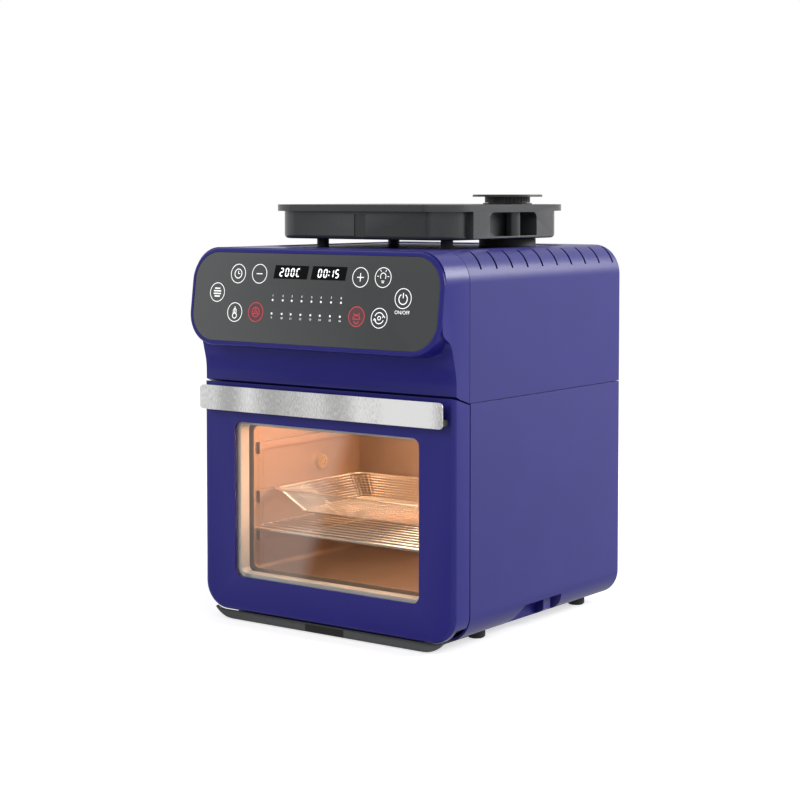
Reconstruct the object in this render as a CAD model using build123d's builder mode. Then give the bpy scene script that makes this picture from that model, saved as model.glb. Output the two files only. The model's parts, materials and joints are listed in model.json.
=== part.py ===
from build123d import *
import math
import os

os.makedirs("parts", exist_ok=True)

# Steam air fryer oven, modelled standing on its feet.
# Millimetres, +X to the user's right, +Y to the back, +Z up.
# Every sketch is placed by three measures: across from the middle, behind the door's face,
# and above the underside of the body.

# Body
body_width = 310.0
body_depth = 302.5
deck_height = 369.5
top_radius = 30.0
bottom_radius = 27.0
shell_wall = 2.5
seam_height = 227.0
seam_gap = 0.6
door_seam = 1.5
head_depth = 25.0
door_face_y = -140.37

# Feet and base
foot_height = 8.5
foot_radius = 9.0
foot_reach = 122.0
foot_front = 85.0
foot_back = 272.0
foot_chamfer = 1.5
floor_opening = 112.0
base_lap = 12.0
base_sheet = 2.0
base_edge = 10.0

# Door
door_depth = 25.0
door_low = 1.5
door_high = 233.3
door_high_mid = 230.6
door_high_back = 225.6
door_mid_depth = 9.0
door_edge = 4.5
door_wall = 2.5
window_reach = 114.5
window_low = 37.0
window_high = 194.0
window_radius = 8.0
pane_lap = 3.5
pane_thickness = 3.5
pane_play = 0.3
window_tube_wall = 3.0
spacer_width = 6.5
inner_frame_sheet = 2.5
inner_frame_reach = 143.0
inner_frame_low = 26.0
inner_frame_high = 216.0
inner_frame_lip = 3.0

# Door hinge
hinge_depth = 9.0
hinge_height = 15.0
hinge_reach = 107.0
hinge_arm_width = 6.0
hinge_arm_radius = 5.5
hinge_pin_radius = 3.0
hinge_running = 0.05
hinge_side_play = 1.0
hinge_lug = 5.0
swing_radius = 17.2

# Handle
handle_reach = 150.0
handle_low = 206.0
handle_high = 230.5
handle_corner = 4.0
handle_stand = 12.6
handle_sheet = 1.5
handle_backing_sheet = 3.0
handle_inset = 2.0
handle_foot = 6.0

# Head and control panel
panel_tilt = 7.5
panel_mid_depth = -19.2
panel_mid_height = 321.0
panel_height = 97.0
panel_radius = 33.0
panel_rim = 4.4
panel_glass = 3.0
panel_recess = 0.3
rim_edge = 2.2
head_block = 30.0
panel_pocket = 18.0
neck_set_back = 3.0
display_width = 42.0
display_height = 13.0
display_slant = 2.0
display_sheet = 1.0
display_rise = 26.0
display_left = -27.0
display_right = 19.8
board_width = 262.0
board_height = 66.0
board_sheet = 1.6
board_gap = 7.0
board_post_radius = 3.0

# Vents over the top edges
vent_count = 10
vent_first = 45.5
vent_pitch = 27.2
vent_width = 2.6
vent_low = 351.5
vent_outer = 157.0
vent_inner = 134.0
vent_slant = 20.8

# Hand grips in the lower corners
grip_front = 106.0
grip_back = 199.0
grip_high = 20.0
grip_slope = 17.0
grip_reach = 136.0
grip_rib_front = 170.0
grip_rib_width = 13.0
grip_rib_reach = 147.0

# Oven cavity
cavity_reach = 127.0
cavity_low = 34.0
cavity_high = 216.0
cavity_back = 222.0
cavity_sheet = 1.0
frame_sheet = 1.2
frame_low = 6.0
frame_high = 224.0
frame_gap = 0.9
rail_heights = (77.5, 116.5, 167.0)
rail_depth_front = 48.0
rail_depth_back = 214.0
rail_stand = 4.5
rail_height = 7.0
rail_hook = 10.0
gasket_width = 4.0
gasket_gap = 0.2

# Heater, fan and motor above the cavity
fan_depth = 125.0
roof_hole_radius = 80.0
dome_radius = 88.0
dome_height = 42.0
dome_sheet = 1.2
dome_flange = 7.0
guard_sheet = 1.4
guard_lap = 5.0
guard_slots = 20
element_radius = 66.0
element_tube = 3.3
element_drop = 30.0
fan_radius = 54.0
fan_blades = 9
fan_blade_height = 13.0
shaft_radius = 3.0
shaft_running = 0.05
motor_bridge_height = 286.0
motor_side = 56.0
motor_height = 26.0
cooling_radius = 44.0
cooling_height = 266.0

# Steam system
tank_reach = 109.6
tank_front = 55.5
tank_back = 266.5
tank_low = 377.5
tank_rim_low = 405.3
tank_high = 412.0
tank_rim = 7.0
tank_wall = 2.4
tank_corner = 28.5
tank_bottom_edge = 4.0
tank_grip_front = 116.0
tank_grip_back = 201.0
tank_grip_low = 380.8
tank_grip_high = 404.4
tank_grip_depth = 20.0
tank_block_front = 87.0
tank_block_back = 232.0
lid_rebate = 4.4
lid_sheet = 2.3
cap_across = 66.0
cap_depth = 224.0
cap_radius = 36.2
cap_sheet = 2.4
cap_high = 422.1
cap_neck_radius = 23.5
cap_plug_radius = 20.0
cap_collar = 1.5
post_reach = 78.0
post_front = 97.4
post_back = 219.7
post_radius = 6.2
dock_radius = 29.5
dock_stem_radius = 12.0
socket_radius = 9.0
valve_radius = 8.4
deck_recess = 1.0
pipe_radius = 3.5
nozzle_depth = 152.0
nozzle_height = 136.0
pipe_row = 262.0
pump_height = 22.0
generator_middle = -60.0

# Condensate tray
tray_front = 0.5
tray_back = 72.0
tray_low = -7.3
tray_high = -0.6
tray_reach = 111.0
tray_wall = 1.4
tray_lip = 3.0
tray_tip_wrap = 13.0
tray_tip_height = 5.0
tray_gap = 1.3
notch_reach = 24.0
rail_play = 0.3

# Rack and basket
rack_rod = 2.0
rack_wire = 1.25
rack_wires = 15
rack_play = 0.5
rack_front = 37.0
rack_back = 212.0
carry_gap = 0.3
basket_front = 60.0
basket_back = 216.0
basket_rim_reach = 125.5
basket_corner = 22.0
basket_sheet = 1.2
basket_rim = 5.0
basket_drop = 22.0
basket_taper = 22.0

half_width = body_width / 2
shell_front = door_depth + door_seam
tilt = math.radians(panel_tilt)


def level(height):
    """Flat plane at a height above the body's underside, drawn across and back."""
    return Plane(origin=(0, door_face_y, foot_height + height), x_dir=(1, 0, 0), z_dir=(0, 0, 1))


def behind(depth):
    """Upright plane at a depth behind the door's face, extruding to the front."""
    return Plane(origin=(0, door_face_y + depth, foot_height), x_dir=(1, 0, 0), z_dir=(0, -1, 0))


def across(offset):
    """Upright plane at a place across the body, drawn back and up, extruding to the right."""
    return Plane(origin=(offset, door_face_y, foot_height), x_dir=(0, 1, 0), z_dir=(1, 0, 0))


def panel_plane(sink):
    """Plane of the leaning control panel, sunk by a distance square to it."""
    depth = panel_mid_depth + sink * math.cos(tilt)
    height = panel_mid_height - sink * math.sin(tilt)
    middle = (0, door_face_y + depth, foot_height + height)
    return Plane(origin=middle, x_dir=(1, 0, 0), z_dir=(0, -math.cos(tilt), math.sin(tilt)))


def panel_depth_at(height, sink):
    """Depth of the panel's plane at a height, sunk by a distance square to it."""
    rise = (height - panel_mid_height) * math.tan(tilt)
    return panel_mid_depth + rise + sink / math.cos(tilt)


def place(x, depth, height):
    """A point given by the three measures."""
    return Vector(x, door_face_y + depth, foot_height + height)


def upright_outline(reach, low, high, low_radius, high_radius):
    """Upright rectangle about the middle, with its own radius below and above."""
    with BuildSketch() as outline:
        with Locations((0, (low + high) / 2)):
            Rectangle(2 * reach, high - low)
        if low_radius > 0:
            fillet(outline.vertices().group_by(Axis.Y)[0], low_radius)
        if high_radius > 0:
            fillet(outline.vertices().group_by(Axis.Y)[-1], high_radius)
    return outline.sketch


def flat_outline(reach, front, back, radius):
    """Rectangle seen from above, about the middle, with rounded corners."""
    with BuildSketch() as outline:
        with Locations((0, (front + back) / 2)):
            Rectangle(2 * reach, back - front)
        fillet(outline.vertices(), radius)
    return outline.sketch


# Base plate: dark tray that closes the underside and carries the inner parts.
base_front = shell_front + 2.5
base_back = body_depth - base_edge
with BuildPart() as base_plate:
    with BuildSketch(level(0)):
        add(flat_outline(floor_opening - 0.5, base_front, base_back, 4))
    extrude(amount=shell_wall)
    with BuildSketch(level(shell_wall)):
        add(flat_outline(floor_opening + base_lap, base_front, base_back, 4))
    extrude(amount=base_sheet)
    with BuildSketch(level(0)):
        with Locations((0, 165)):
            with GridLocations(26, 34, 6, 3):
                SlotOverall(20, 4)
    extrude(amount=shell_wall + base_sheet, mode=Mode.SUBTRACT)
base_plate.part.label = "base_plate"
export_step(base_plate.part, "parts/base_plate.step")
base_top = shell_wall + base_sheet

# Feet: four rubber feet, two in front and two behind.
with BuildPart() as feet:
    with BuildSketch(level(-foot_height)):
        for foot_depth in (foot_front, foot_back):
            with Locations((-foot_reach, foot_depth), (foot_reach, foot_depth)):
                Circle(foot_radius)
    extrude(amount=foot_height)
    chamfer(feet.edges().group_by(Axis.Z)[0], foot_chamfer)
feet.part.label = "feet"
export_step(feet.part, "parts/feet.step")

# Lower housing: blue wrap with rounded lower corners and a hand grip in each.
with BuildPart() as lower_body:
    with BuildSketch(behind(body_depth)):
        add(upright_outline(half_width, 0, seam_height - seam_gap / 2, bottom_radius, 0))
    extrude(amount=body_depth - shell_front)
with BuildPart() as lower_housing:
    with BuildSketch(behind(body_depth)):
        add(upright_outline(half_width, 0, seam_height - seam_gap / 2, bottom_radius, 0))
        inner_radius = bottom_radius - shell_wall
        inner_reach = half_width - shell_wall
        add(upright_outline(inner_reach, shell_wall, seam_height, inner_radius, 0), mode=Mode.SUBTRACT)
    extrude(amount=body_depth - shell_front)
    with BuildSketch(level(0)):
        add(flat_outline(floor_opening, base_front - 0.5, base_back + 0.5, 4))
    extrude(amount=shell_wall, mode=Mode.SUBTRACT)
    with BuildSketch(across(grip_reach - shell_wall)):
        with BuildLine():
            Polyline(
                (grip_front - shell_wall, shell_wall / 2),
                (grip_front + grip_slope - shell_wall, grip_high + shell_wall),
                (grip_back - grip_slope / 2 + shell_wall, grip_high + shell_wall),
                (grip_back + shell_wall, shell_wall / 2),
                close=True,
            )
        make_face()
    extrude(amount=half_width - grip_reach)
    with BuildSketch(across(grip_reach)):
        with BuildLine():
            Polyline(
                (grip_front - grip_slope / grip_high, -1),
                (grip_front + grip_slope, grip_high),
                (grip_back - grip_slope / 2, grip_high),
                (grip_back + 0.5, -1),
                close=True,
            )
        make_face()
    extrude(amount=half_width, mode=Mode.SUBTRACT)
    with BuildSketch(across(grip_reach - shell_wall / 2)):
        with Locations((grip_rib_front + grip_rib_width / 2, grip_high / 2)):
            Rectangle(grip_rib_width, grip_high + shell_wall)
    extrude(amount=grip_rib_reach - grip_reach)
    add(lower_body.part, mode=Mode.INTERSECT)
    with BuildSketch(across(0)):
        with Locations((body_depth / 2, seam_height / 2)):
            Rectangle(2 * body_depth, 2 * seam_height)
    extrude(amount=-body_width, mode=Mode.SUBTRACT)
    mirror(about=Plane.YZ)
lower_housing.part.label = "lower_housing"
export_step(lower_housing.part, "parts/lower_housing.step")

# Upper housing: blue arch with the deck on top and slots over both top edges.
upper_front = head_depth + seam_gap / 2
with BuildPart() as upper_housing:
    with BuildSketch(behind(body_depth)):
        low = seam_height + seam_gap / 2
        add(upright_outline(half_width, low, deck_height, 0, top_radius))
        inner_high = deck_height - shell_wall
        inner_radius = top_radius - shell_wall
        add(upright_outline(half_width - shell_wall, 0, inner_high, 0, inner_radius), mode=Mode.SUBTRACT)
    extrude(amount=body_depth - upper_front)
    with BuildSketch(level(deck_height - deck_recess)):
        bay_play = 6
        add(flat_outline(tank_reach + bay_play, tank_front - bay_play, tank_back + bay_play, tank_corner))
    extrude(amount=deck_recess, mode=Mode.SUBTRACT)
    with BuildSketch(level(deck_height - 2 * shell_wall)):
        with Locations((cap_across, cap_depth)):
            Circle(dock_stem_radius + 0.3)
    extrude(amount=3 * shell_wall, mode=Mode.SUBTRACT)
    vent_run = vent_outer - vent_inner
    with BuildSketch(level(vent_low)):
        for vent in range(vent_count):
            depth = vent_first + vent * vent_pitch
            shift = vent_run / 2 * math.tan(math.radians(vent_slant))
            for side in (-1, 1):
                with Locations(Location((side * (vent_outer + vent_inner) / 2, depth + shift, 0))):
                    Rectangle(vent_run, vent_width, rotation=-side * vent_slant)
    extrude(amount=deck_height - vent_low, mode=Mode.SUBTRACT)
upper_housing.part.label = "upper_housing"
export_step(upper_housing.part, "parts/upper_housing.step")

# Head housing: leaning panel frame over a hollow neck that curves back to the door.
head_back = head_depth - seam_gap / 2
head_gap = 1.7
neck_points = [
    (3.4, door_high + head_gap),
    (2.4, 255.2),
    (-3.1, 274.7),
    (-12.8, 290.7),
    (panel_depth_at(298.5, neck_set_back), 298.5),
]
with BuildLine() as neck_line:
    Spline(*neck_points, tangents=((0, 1), (-math.sin(tilt), 2 * math.cos(tilt))))
neck_curve = neck_line.edge()


def neck_point(along, inset):
    """Point on the neck's curve, moved inwards square to it."""
    point = neck_curve @ along
    run = neck_curve % along
    return (point.X + inset * run.Y, point.Y - inset * run.X)


def head_profile(inset, back):
    """Side view of the head: neck curve, leaning front, flat top and the slope over the door."""
    inner_points = [neck_point(along, inset) for along in (0.25, 0.5, 0.75, 1.0)]
    start = (neck_point(0, inset)[0], door_high + head_gap + inset)
    with BuildSketch() as profile:
        with BuildLine():
            neck = Spline(start, *inner_points, tangents=((0, 1), (-math.sin(tilt), 2 * math.cos(tilt))))
            Polyline(
                neck @ 1,
                (panel_depth_at(deck_height - inset, neck_set_back + inset), deck_height - inset),
                (back, deck_height - inset),
                (back, door_high_back + head_gap + inset),
                (door_mid_depth, door_high_mid + head_gap + inset),
                neck @ 0,
            )
        make_face()
    return profile.sketch


with BuildPart() as head_hollow:
    with BuildSketch(across(0)):
        add(head_profile(shell_wall, head_back + 1))
    extrude(amount=half_width - shell_wall, both=True)
    fillet(head_hollow.edges().filter_by(Axis.Y).group_by(Axis.Z)[-1], top_radius - shell_wall)
with BuildPart() as head_housing:
    with BuildSketch(across(0)):
        add(head_profile(0, head_back))
    extrude(amount=half_width, both=True)
    fillet(head_housing.edges().filter_by(Axis.Y).group_by(Axis.Z)[-1], top_radius)
    with BuildSketch(panel_plane(head_block)):
        RectangleRounded(body_width, panel_height, panel_radius)
    extrude(amount=head_block)
    front_face = head_housing.faces().sort_by(Axis.Y)[0]
    fillet(front_face.outer_wire().edges(), rim_edge)
    add(head_hollow.part, mode=Mode.SUBTRACT)
    with BuildSketch(panel_plane(panel_recess + panel_glass)):
        glass_play = 0.2
        wide = body_width - 2 * panel_rim + 2 * glass_play
        tall = panel_height - 2 * panel_rim + 2 * glass_play
        RectangleRounded(wide, tall, panel_radius - panel_rim + glass_play)
    extrude(amount=3 * panel_glass, mode=Mode.SUBTRACT)
    with BuildSketch(panel_plane(panel_pocket)):
        RectangleRounded(body_width - 4 * panel_rim, panel_height - 4 * panel_rim, panel_radius - 2 * panel_rim)
    extrude(amount=panel_pocket, mode=Mode.SUBTRACT)
head_housing.part.label = "head_housing"
export_step(head_housing.part, "parts/head_housing.step")

# Control panel: glossy plate set into the head, with a shallow seat for each display.
panel_wide = body_width - 2 * panel_rim
panel_tall = panel_height - 2 * panel_rim


def display_outline(middle):
    """Slanted window of one display."""
    half = display_width / 2
    low = display_rise - display_height / 2
    high = display_rise + display_height / 2
    lean = display_slant / 2
    with BuildSketch() as outline:
        with BuildLine():
            Polyline(
                (middle - half - lean, low),
                (middle + half - lean, low),
                (middle + half + lean, high),
                (middle - half + lean, high),
                close=True,
            )
        make_face()
    return outline.sketch


with BuildPart() as control_panel:
    with BuildSketch(panel_plane(panel_recess + panel_glass)):
        RectangleRounded(panel_wide, panel_tall, panel_radius - panel_rim)
    extrude(amount=panel_glass)
    with BuildSketch(panel_plane(panel_recess + display_sheet)):
        add(display_outline(display_left))
        add(display_outline(display_right))
    extrude(amount=2 * display_sheet, mode=Mode.SUBTRACT)
control_panel.part.label = "control_panel"
export_step(control_panel.part, "parts/control_panel.step")

# Display windows: two dark slanted plates in the seats of the panel.
with BuildPart() as display_windows:
    with BuildSketch(panel_plane(panel_recess + display_sheet)):
        add(display_outline(display_left))
        add(display_outline(display_right))
    extrude(amount=display_sheet)
display_windows.part.label = "display_windows"
export_step(display_windows.part, "parts/display_windows.step")

# Control board: circuit board on short posts behind the panel, with its display blocks.
board_sink = panel_recess + panel_glass + board_gap + board_sheet
with BuildPart() as control_board:
    with BuildSketch(panel_plane(board_sink)):
        Rectangle(board_width, board_height)
    extrude(amount=board_sheet)
    with BuildSketch(panel_plane(board_sink - board_sheet)):
        with GridLocations(board_width / 2 - 8, board_height - 10, 3, 2):
            Circle(board_post_radius)
    extrude(amount=board_gap)
    with BuildSketch(panel_plane(board_sink - board_sheet)):
        with Locations((display_left, display_rise - 2), (display_right, display_rise - 2)):
            Rectangle(display_width - 4, display_height - 4)
    extrude(amount=board_gap - 1)
    with BuildSketch(panel_plane(board_sink)):
        with Locations((-90, 0), (85, 4)):
            Rectangle(26, 18)
    extrude(amount=-5)
control_board.part.label = "control_board"
export_step(control_board.part, "parts/control_board.step")

# Rear cover: louvred sheet inside the back edges of both housings.
cover_back = body_depth - 1.5
cover_sheet = 1.5
cover_play = 0.2
cover_lip = 8.0
cover_reach = half_width - shell_wall - cover_play
cover_low = shell_wall + cover_play
cover_high = deck_height - shell_wall - cover_play
cover_low_radius = bottom_radius - shell_wall - cover_play
cover_high_radius = top_radius - shell_wall - cover_play
gland_across = -118.0
gland_height = 46.0
gland_neck = 8.0
cover_outline = upright_outline(cover_reach, cover_low, cover_high, cover_low_radius, cover_high_radius)
cover_inside = upright_outline(
    cover_reach - cover_sheet,
    cover_low + cover_sheet,
    cover_high - cover_sheet,
    cover_low_radius - cover_sheet,
    cover_high_radius - cover_sheet,
)
louvre_length = 60.0
louvre_width = 3.5
louvre_pitch = 9.0
with BuildPart() as rear_cover:
    with BuildSketch(behind(cover_back)):
        add(cover_outline)
    extrude(amount=cover_lip)
    with BuildSketch(behind(cover_back - cover_sheet)):
        add(cover_inside)
    extrude(amount=cover_lip, mode=Mode.SUBTRACT)
    with BuildSketch(behind(cover_back)):
        with Locations((0, 300)):
            with GridLocations(louvre_length + 16, louvre_pitch, 3, 8):
                SlotOverall(louvre_length, louvre_width)
        with Locations((30, 90)):
            with GridLocations(louvre_length + 16, louvre_pitch, 2, 6):
                SlotOverall(louvre_length, louvre_width)
        with Locations((gland_across, gland_height)):
            Circle(gland_neck + cover_play)
    extrude(amount=2 * cover_sheet, mode=Mode.SUBTRACT)
rear_cover.part.label = "rear_cover"
export_step(rear_cover.part, "parts/rear_cover.step")

# Cord gland: moulded bush through the rear cover, empty.
gland_flange = 11.0
gland_lead = 5.0
gland_bore = 3.5
with BuildPart() as cord_gland:
    with BuildSketch(behind(cover_back)):
        with Locations((gland_across, gland_height)):
            Circle(gland_neck)
    extrude(amount=cover_sheet)
    with BuildSketch(behind(cover_back)):
        with Locations((gland_across, gland_height)):
            Circle(gland_flange)
    extrude(amount=-gland_lead, taper=18)
    with BuildSketch(behind(cover_back - cover_sheet)):
        with Locations((gland_across, gland_height)):
            Circle(gland_flange - 1)
    extrude(amount=3)
    with BuildSketch(behind(cover_back + gland_lead + 1)):
        with Locations((gland_across, gland_height)):
            Circle(gland_bore)
    extrude(amount=20, mode=Mode.SUBTRACT)
cord_gland.part.label = "cord_gland"
export_step(cord_gland.part, "parts/cord_gland.step")

# Front frame: sheet round the mouth of the cavity.
frame_back = shell_front + frame_gap + frame_sheet
frame_face = frame_back - frame_sheet
with BuildPart() as front_frame:
    with BuildSketch(behind(frame_back)):
        frame_reach = half_width - shell_wall - cover_play
        add(upright_outline(frame_reach, frame_low, frame_high, cover_low_radius, 4))
        add(upright_outline(cavity_reach, cavity_low, cavity_high, 6, 6), mode=Mode.SUBTRACT)
    extrude(amount=frame_sheet)
front_frame.part.label = "front_frame"
export_step(front_frame.part, "parts/front_frame.step")

# Door gasket: soft ring on the frame, just clear of the closed door.
gasket_edge = 2.5
with BuildPart() as door_gasket:
    with BuildSketch(behind(frame_face)):
        edge = gasket_edge + gasket_width
        add(upright_outline(cavity_reach + edge, cavity_low - edge, cavity_high + edge, 8, 8))
        edge = gasket_edge
        add(
            upright_outline(cavity_reach + edge, cavity_low - edge, cavity_high + edge, 6, 6),
            mode=Mode.SUBTRACT,
        )
    extrude(amount=frame_face - door_depth - gasket_gap)
door_gasket.part.label = "door_gasket"
export_step(door_gasket.part, "parts/door_gasket.step")

# Catch magnets: two blocks on the frame that hold the closed door.
magnet_across = 139.0
magnet_height = 205.0
with BuildPart() as catch_magnets:
    with BuildSketch(behind(frame_face)):
        with Locations((-magnet_across, magnet_height), (magnet_across, magnet_height)):
            RectangleRounded(7, 22, 1.5)
    extrude(amount=frame_face - door_depth - gasket_gap)
catch_magnets.part.label = "catch_magnets"
export_step(catch_magnets.part, "parts/catch_magnets.step")

# Door sensor: reed switch behind the frame.
with BuildPart() as door_sensor:
    with BuildSketch(behind(frame_back + 9)):
        with Locations((magnet_across, magnet_height - 40)):
            RectangleRounded(9, 26, 1.5)
    extrude(amount=9)
door_sensor.part.label = "door_sensor"
export_step(door_sensor.part, "parts/door_sensor.step")

# Hinge brackets: arms on the frame that reach into the foot of the door.
with BuildPart() as hinge_brackets:
    with BuildSketch(across(hinge_reach - hinge_arm_width / 2)):
        with Locations((hinge_depth, hinge_height)):
            Circle(hinge_arm_radius)
        with Locations(((hinge_depth + frame_face) / 2, hinge_height)):
            Rectangle(frame_face - hinge_depth, 2 * hinge_arm_radius)
        with Locations((hinge_depth, hinge_height)):
            Circle(hinge_pin_radius + hinge_running, mode=Mode.SUBTRACT)
    extrude(amount=hinge_arm_width)
    mirror(about=Plane.YZ)
hinge_brackets.part.label = "hinge_brackets"
export_step(hinge_brackets.part, "parts/hinge_brackets.step")

# Hinge pins: short rods held in the lugs of the door.
lug_reach = hinge_arm_width / 2 + hinge_side_play
lug_depth_reach = hinge_depth - 0.6 * door_wall
with BuildPart() as hinge_pins:
    with BuildSketch(across(hinge_reach - lug_reach - hinge_lug)):
        with Locations((hinge_depth, hinge_height)):
            Circle(hinge_pin_radius)
    extrude(amount=2 * (lug_reach + hinge_lug))
    mirror(about=Plane.YZ)
hinge_pins.part.label = "hinge_pins"
export_step(hinge_pins.part, "parts/hinge_pins.step")

# Door shell: blue moulding, hollow behind, with a tube round the window and hinge lugs.
pane_reach = window_reach + pane_lap
pane_low = window_low - pane_lap
pane_high = window_high + pane_lap
pane_radius = window_radius + pane_lap
tube_reach = pane_reach + pane_play
tube_low = pane_low - pane_play
tube_high = pane_high + pane_play
tube_radius = pane_radius + pane_play
inner_frame_front = door_depth - inner_frame_sheet


def door_side(inset):
    """Side view of the door: upright face, sloping top and a foot rounded about the hinge."""
    with BuildSketch() as profile:
        with BuildLine():
            Polyline(
                (inset, door_low + inset),
                (inset, door_high - inset),
                (door_mid_depth, door_high_mid - inset),
                (door_depth, door_high_back - inset),
                (door_depth, door_low + inset),
                close=True,
            )
        make_face()
        with Locations((hinge_depth + swing_radius, hinge_height - swing_radius)):
            Rectangle(2 * swing_radius, 2 * swing_radius, mode=Mode.SUBTRACT)
        with Locations((hinge_depth, hinge_height)):
            with BuildLine():
                reach = swing_radius - inset
                CenterArc((0, 0), reach, -90, 90)
                Line((reach, 0), (0, 0))
                Line((0, 0), (0, -reach))
            make_face()
        with Locations((0, (door_low + inset) / 2)):
            Rectangle(4 * door_depth, door_low + inset, mode=Mode.SUBTRACT)
        with Locations((door_depth + swing_radius, hinge_height)):
            Rectangle(2 * swing_radius, 4 * hinge_height, mode=Mode.SUBTRACT)
    return profile.sketch


with BuildPart() as door_front_form:
    with BuildSketch(behind(door_depth)):
        add(upright_outline(half_width, door_low, door_high + 5, bottom_radius, 0))
    extrude(amount=door_depth)
    fillet(door_front_form.faces().sort_by(Axis.Y)[0].outer_wire().edges(), door_edge)
with BuildPart() as door_shell:
    with BuildSketch(across(0)):
        add(door_side(0))
    extrude(amount=half_width, both=True)
    add(door_front_form.part, mode=Mode.INTERSECT)
    with BuildSketch(behind(door_depth)):
        inner_reach = half_width - door_wall
        inner_radius = bottom_radius - door_wall
        low = door_low + door_wall
        high = door_high_back - door_wall
        add(upright_outline(inner_reach, low, high, inner_radius, 0))
        edge = window_tube_wall
        add(
            upright_outline(tube_reach + edge, tube_low - edge, tube_high + edge, tube_radius + edge, tube_radius + edge),
            mode=Mode.SUBTRACT,
        )
    extrude(amount=door_depth - door_wall, mode=Mode.SUBTRACT)
    with BuildSketch(behind(door_depth)):
        add(upright_outline(tube_reach, tube_low, tube_high, tube_radius, tube_radius))
    extrude(amount=door_depth - door_wall, mode=Mode.SUBTRACT)
    with BuildSketch(behind(door_depth)):
        add(upright_outline(tube_reach + edge, tube_low - edge, tube_high + edge, tube_radius, tube_radius))
    extrude(amount=inner_frame_sheet, mode=Mode.SUBTRACT)
    with BuildSketch(behind(door_depth)):
        add(upright_outline(window_reach, window_low, window_high, window_radius, window_radius))
    extrude(amount=2 * door_depth, mode=Mode.SUBTRACT)
    with BuildSketch(across(hinge_reach - lug_reach - hinge_lug)):
        with Locations((hinge_depth, hinge_height - 1)):
            Rectangle(2 * lug_depth_reach, 2 * (hinge_height - door_low - 2))
    extrude(amount=2 * (lug_reach + hinge_lug))
    with BuildSketch(across(hinge_reach - lug_reach)):
        with BuildLine():
            Polyline(
                (hinge_depth - hinge_arm_radius - 0.5, -1),
                (hinge_depth - hinge_arm_radius - 0.5, hinge_height + hinge_arm_radius + 1),
                (door_depth + 1, hinge_height + hinge_arm_radius + 1),
                (door_depth + 1, -1),
                close=True,
            )
        make_face()
    extrude(amount=2 * lug_reach, mode=Mode.SUBTRACT)
    with BuildSketch(across(hinge_reach - lug_reach - hinge_lug - 1)):
        with Locations((hinge_depth, hinge_height)):
            Circle(hinge_pin_radius)
    extrude(amount=2 * (lug_reach + hinge_lug + 1), mode=Mode.SUBTRACT)
    with BuildSketch(across(0)):
        with Locations((0, 2 * seam_height)):
            Rectangle(4 * body_depth, 8 * seam_height)
    extrude(amount=-half_width - 1, mode=Mode.SUBTRACT)
    mirror(about=Plane.YZ)
door_shell.part.label = "door_shell"
export_step(door_shell.part, "parts/door_shell.step")

# Door panes: outer glass behind the window and inner glass before the inner frame.
outer_pane_back = door_wall + pane_thickness
inner_pane_front = inner_frame_front - pane_thickness
with BuildPart() as outer_glass:
    with BuildSketch(behind(outer_pane_back)):
        add(upright_outline(pane_reach, pane_low, pane_high, pane_radius, pane_radius))
    extrude(amount=pane_thickness)
outer_glass.part.label = "outer_glass"
export_step(outer_glass.part, "parts/outer_glass.step")
with BuildPart() as inner_glass:
    with BuildSketch(behind(inner_frame_front)):
        add(upright_outline(pane_reach, pane_low, pane_high, pane_radius, pane_radius))
    extrude(amount=pane_thickness)
inner_glass.part.label = "inner_glass"
export_step(inner_glass.part, "parts/inner_glass.step")

# Glass spacer: grey ring that keeps the two panes apart.
with BuildPart() as glass_spacer:
    with BuildSketch(behind(inner_pane_front)):
        add(upright_outline(pane_reach, pane_low, pane_high, pane_radius, pane_radius))
        inner = spacer_width
        add(
            upright_outline(pane_reach - inner, pane_low + inner, pane_high - inner, 6, 6),
            mode=Mode.SUBTRACT,
        )
    extrude(amount=inner_pane_front - outer_pane_back)
glass_spacer.part.label = "glass_spacer"
export_step(glass_spacer.part, "parts/glass_spacer.step")

# Door inner frame: steel sheet with a folded lip round the pane.
with BuildPart() as door_inner_frame:
    with BuildSketch(behind(door_depth)):
        add(upright_outline(inner_frame_reach, inner_frame_low, inner_frame_high, 10, 6))
        inner = spacer_width + inner_frame_lip
        add(
            upright_outline(pane_reach - inner, pane_low + inner, pane_high - inner, 6, 6),
            mode=Mode.SUBTRACT,
        )
    extrude(amount=inner_frame_sheet)
    with BuildSketch(behind(inner_frame_front)):
        with GridLocations(2 * inner_frame_reach - 12, 0, 2, 1):
            with Locations((0, inner_frame_high - 12), (0, inner_frame_low + 24)):
                Circle(2.6)
    extrude(amount=inner_frame_front - door_wall)
door_inner_frame.part.label = "door_inner_frame"
export_step(door_inner_frame.part, "parts/door_inner_frame.step")

# Handle: brushed strip over a dark rail that stands off the door, open at the top for fingers.
strip_back = handle_sheet - handle_stand
rail_back = strip_back + handle_backing_sheet
with BuildPart() as handle_strip:
    with BuildSketch(behind(strip_back)):
        with Locations((0, (handle_low + handle_high) / 2)):
            RectangleRounded(2 * handle_reach, handle_high - handle_low, handle_corner)
    extrude(amount=handle_sheet)
handle_strip.part.label = "handle_strip"
export_step(handle_strip.part, "parts/handle_strip.step")
with BuildPart() as handle_backing:
    with BuildSketch(across(0)):
        with BuildLine():
            low = handle_low + handle_inset
            Polyline(
                (strip_back, low),
                (strip_back, handle_high - handle_inset),
                (rail_back, handle_high - handle_inset),
                (rail_back, low + handle_foot),
                (0, low + handle_foot),
                (0, low),
                close=True,
            )
        make_face()
    extrude(amount=handle_reach - handle_inset, both=True)
    inner_corner = handle_backing.edges().filter_by(Axis.X).sort_by_distance(
        place(0, rail_back, low + handle_foot)
    )[0]
    fillet(inner_corner, 2)
handle_backing.part.label = "handle_backing"
export_step(handle_backing.part, "parts/handle_backing.step")

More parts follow.
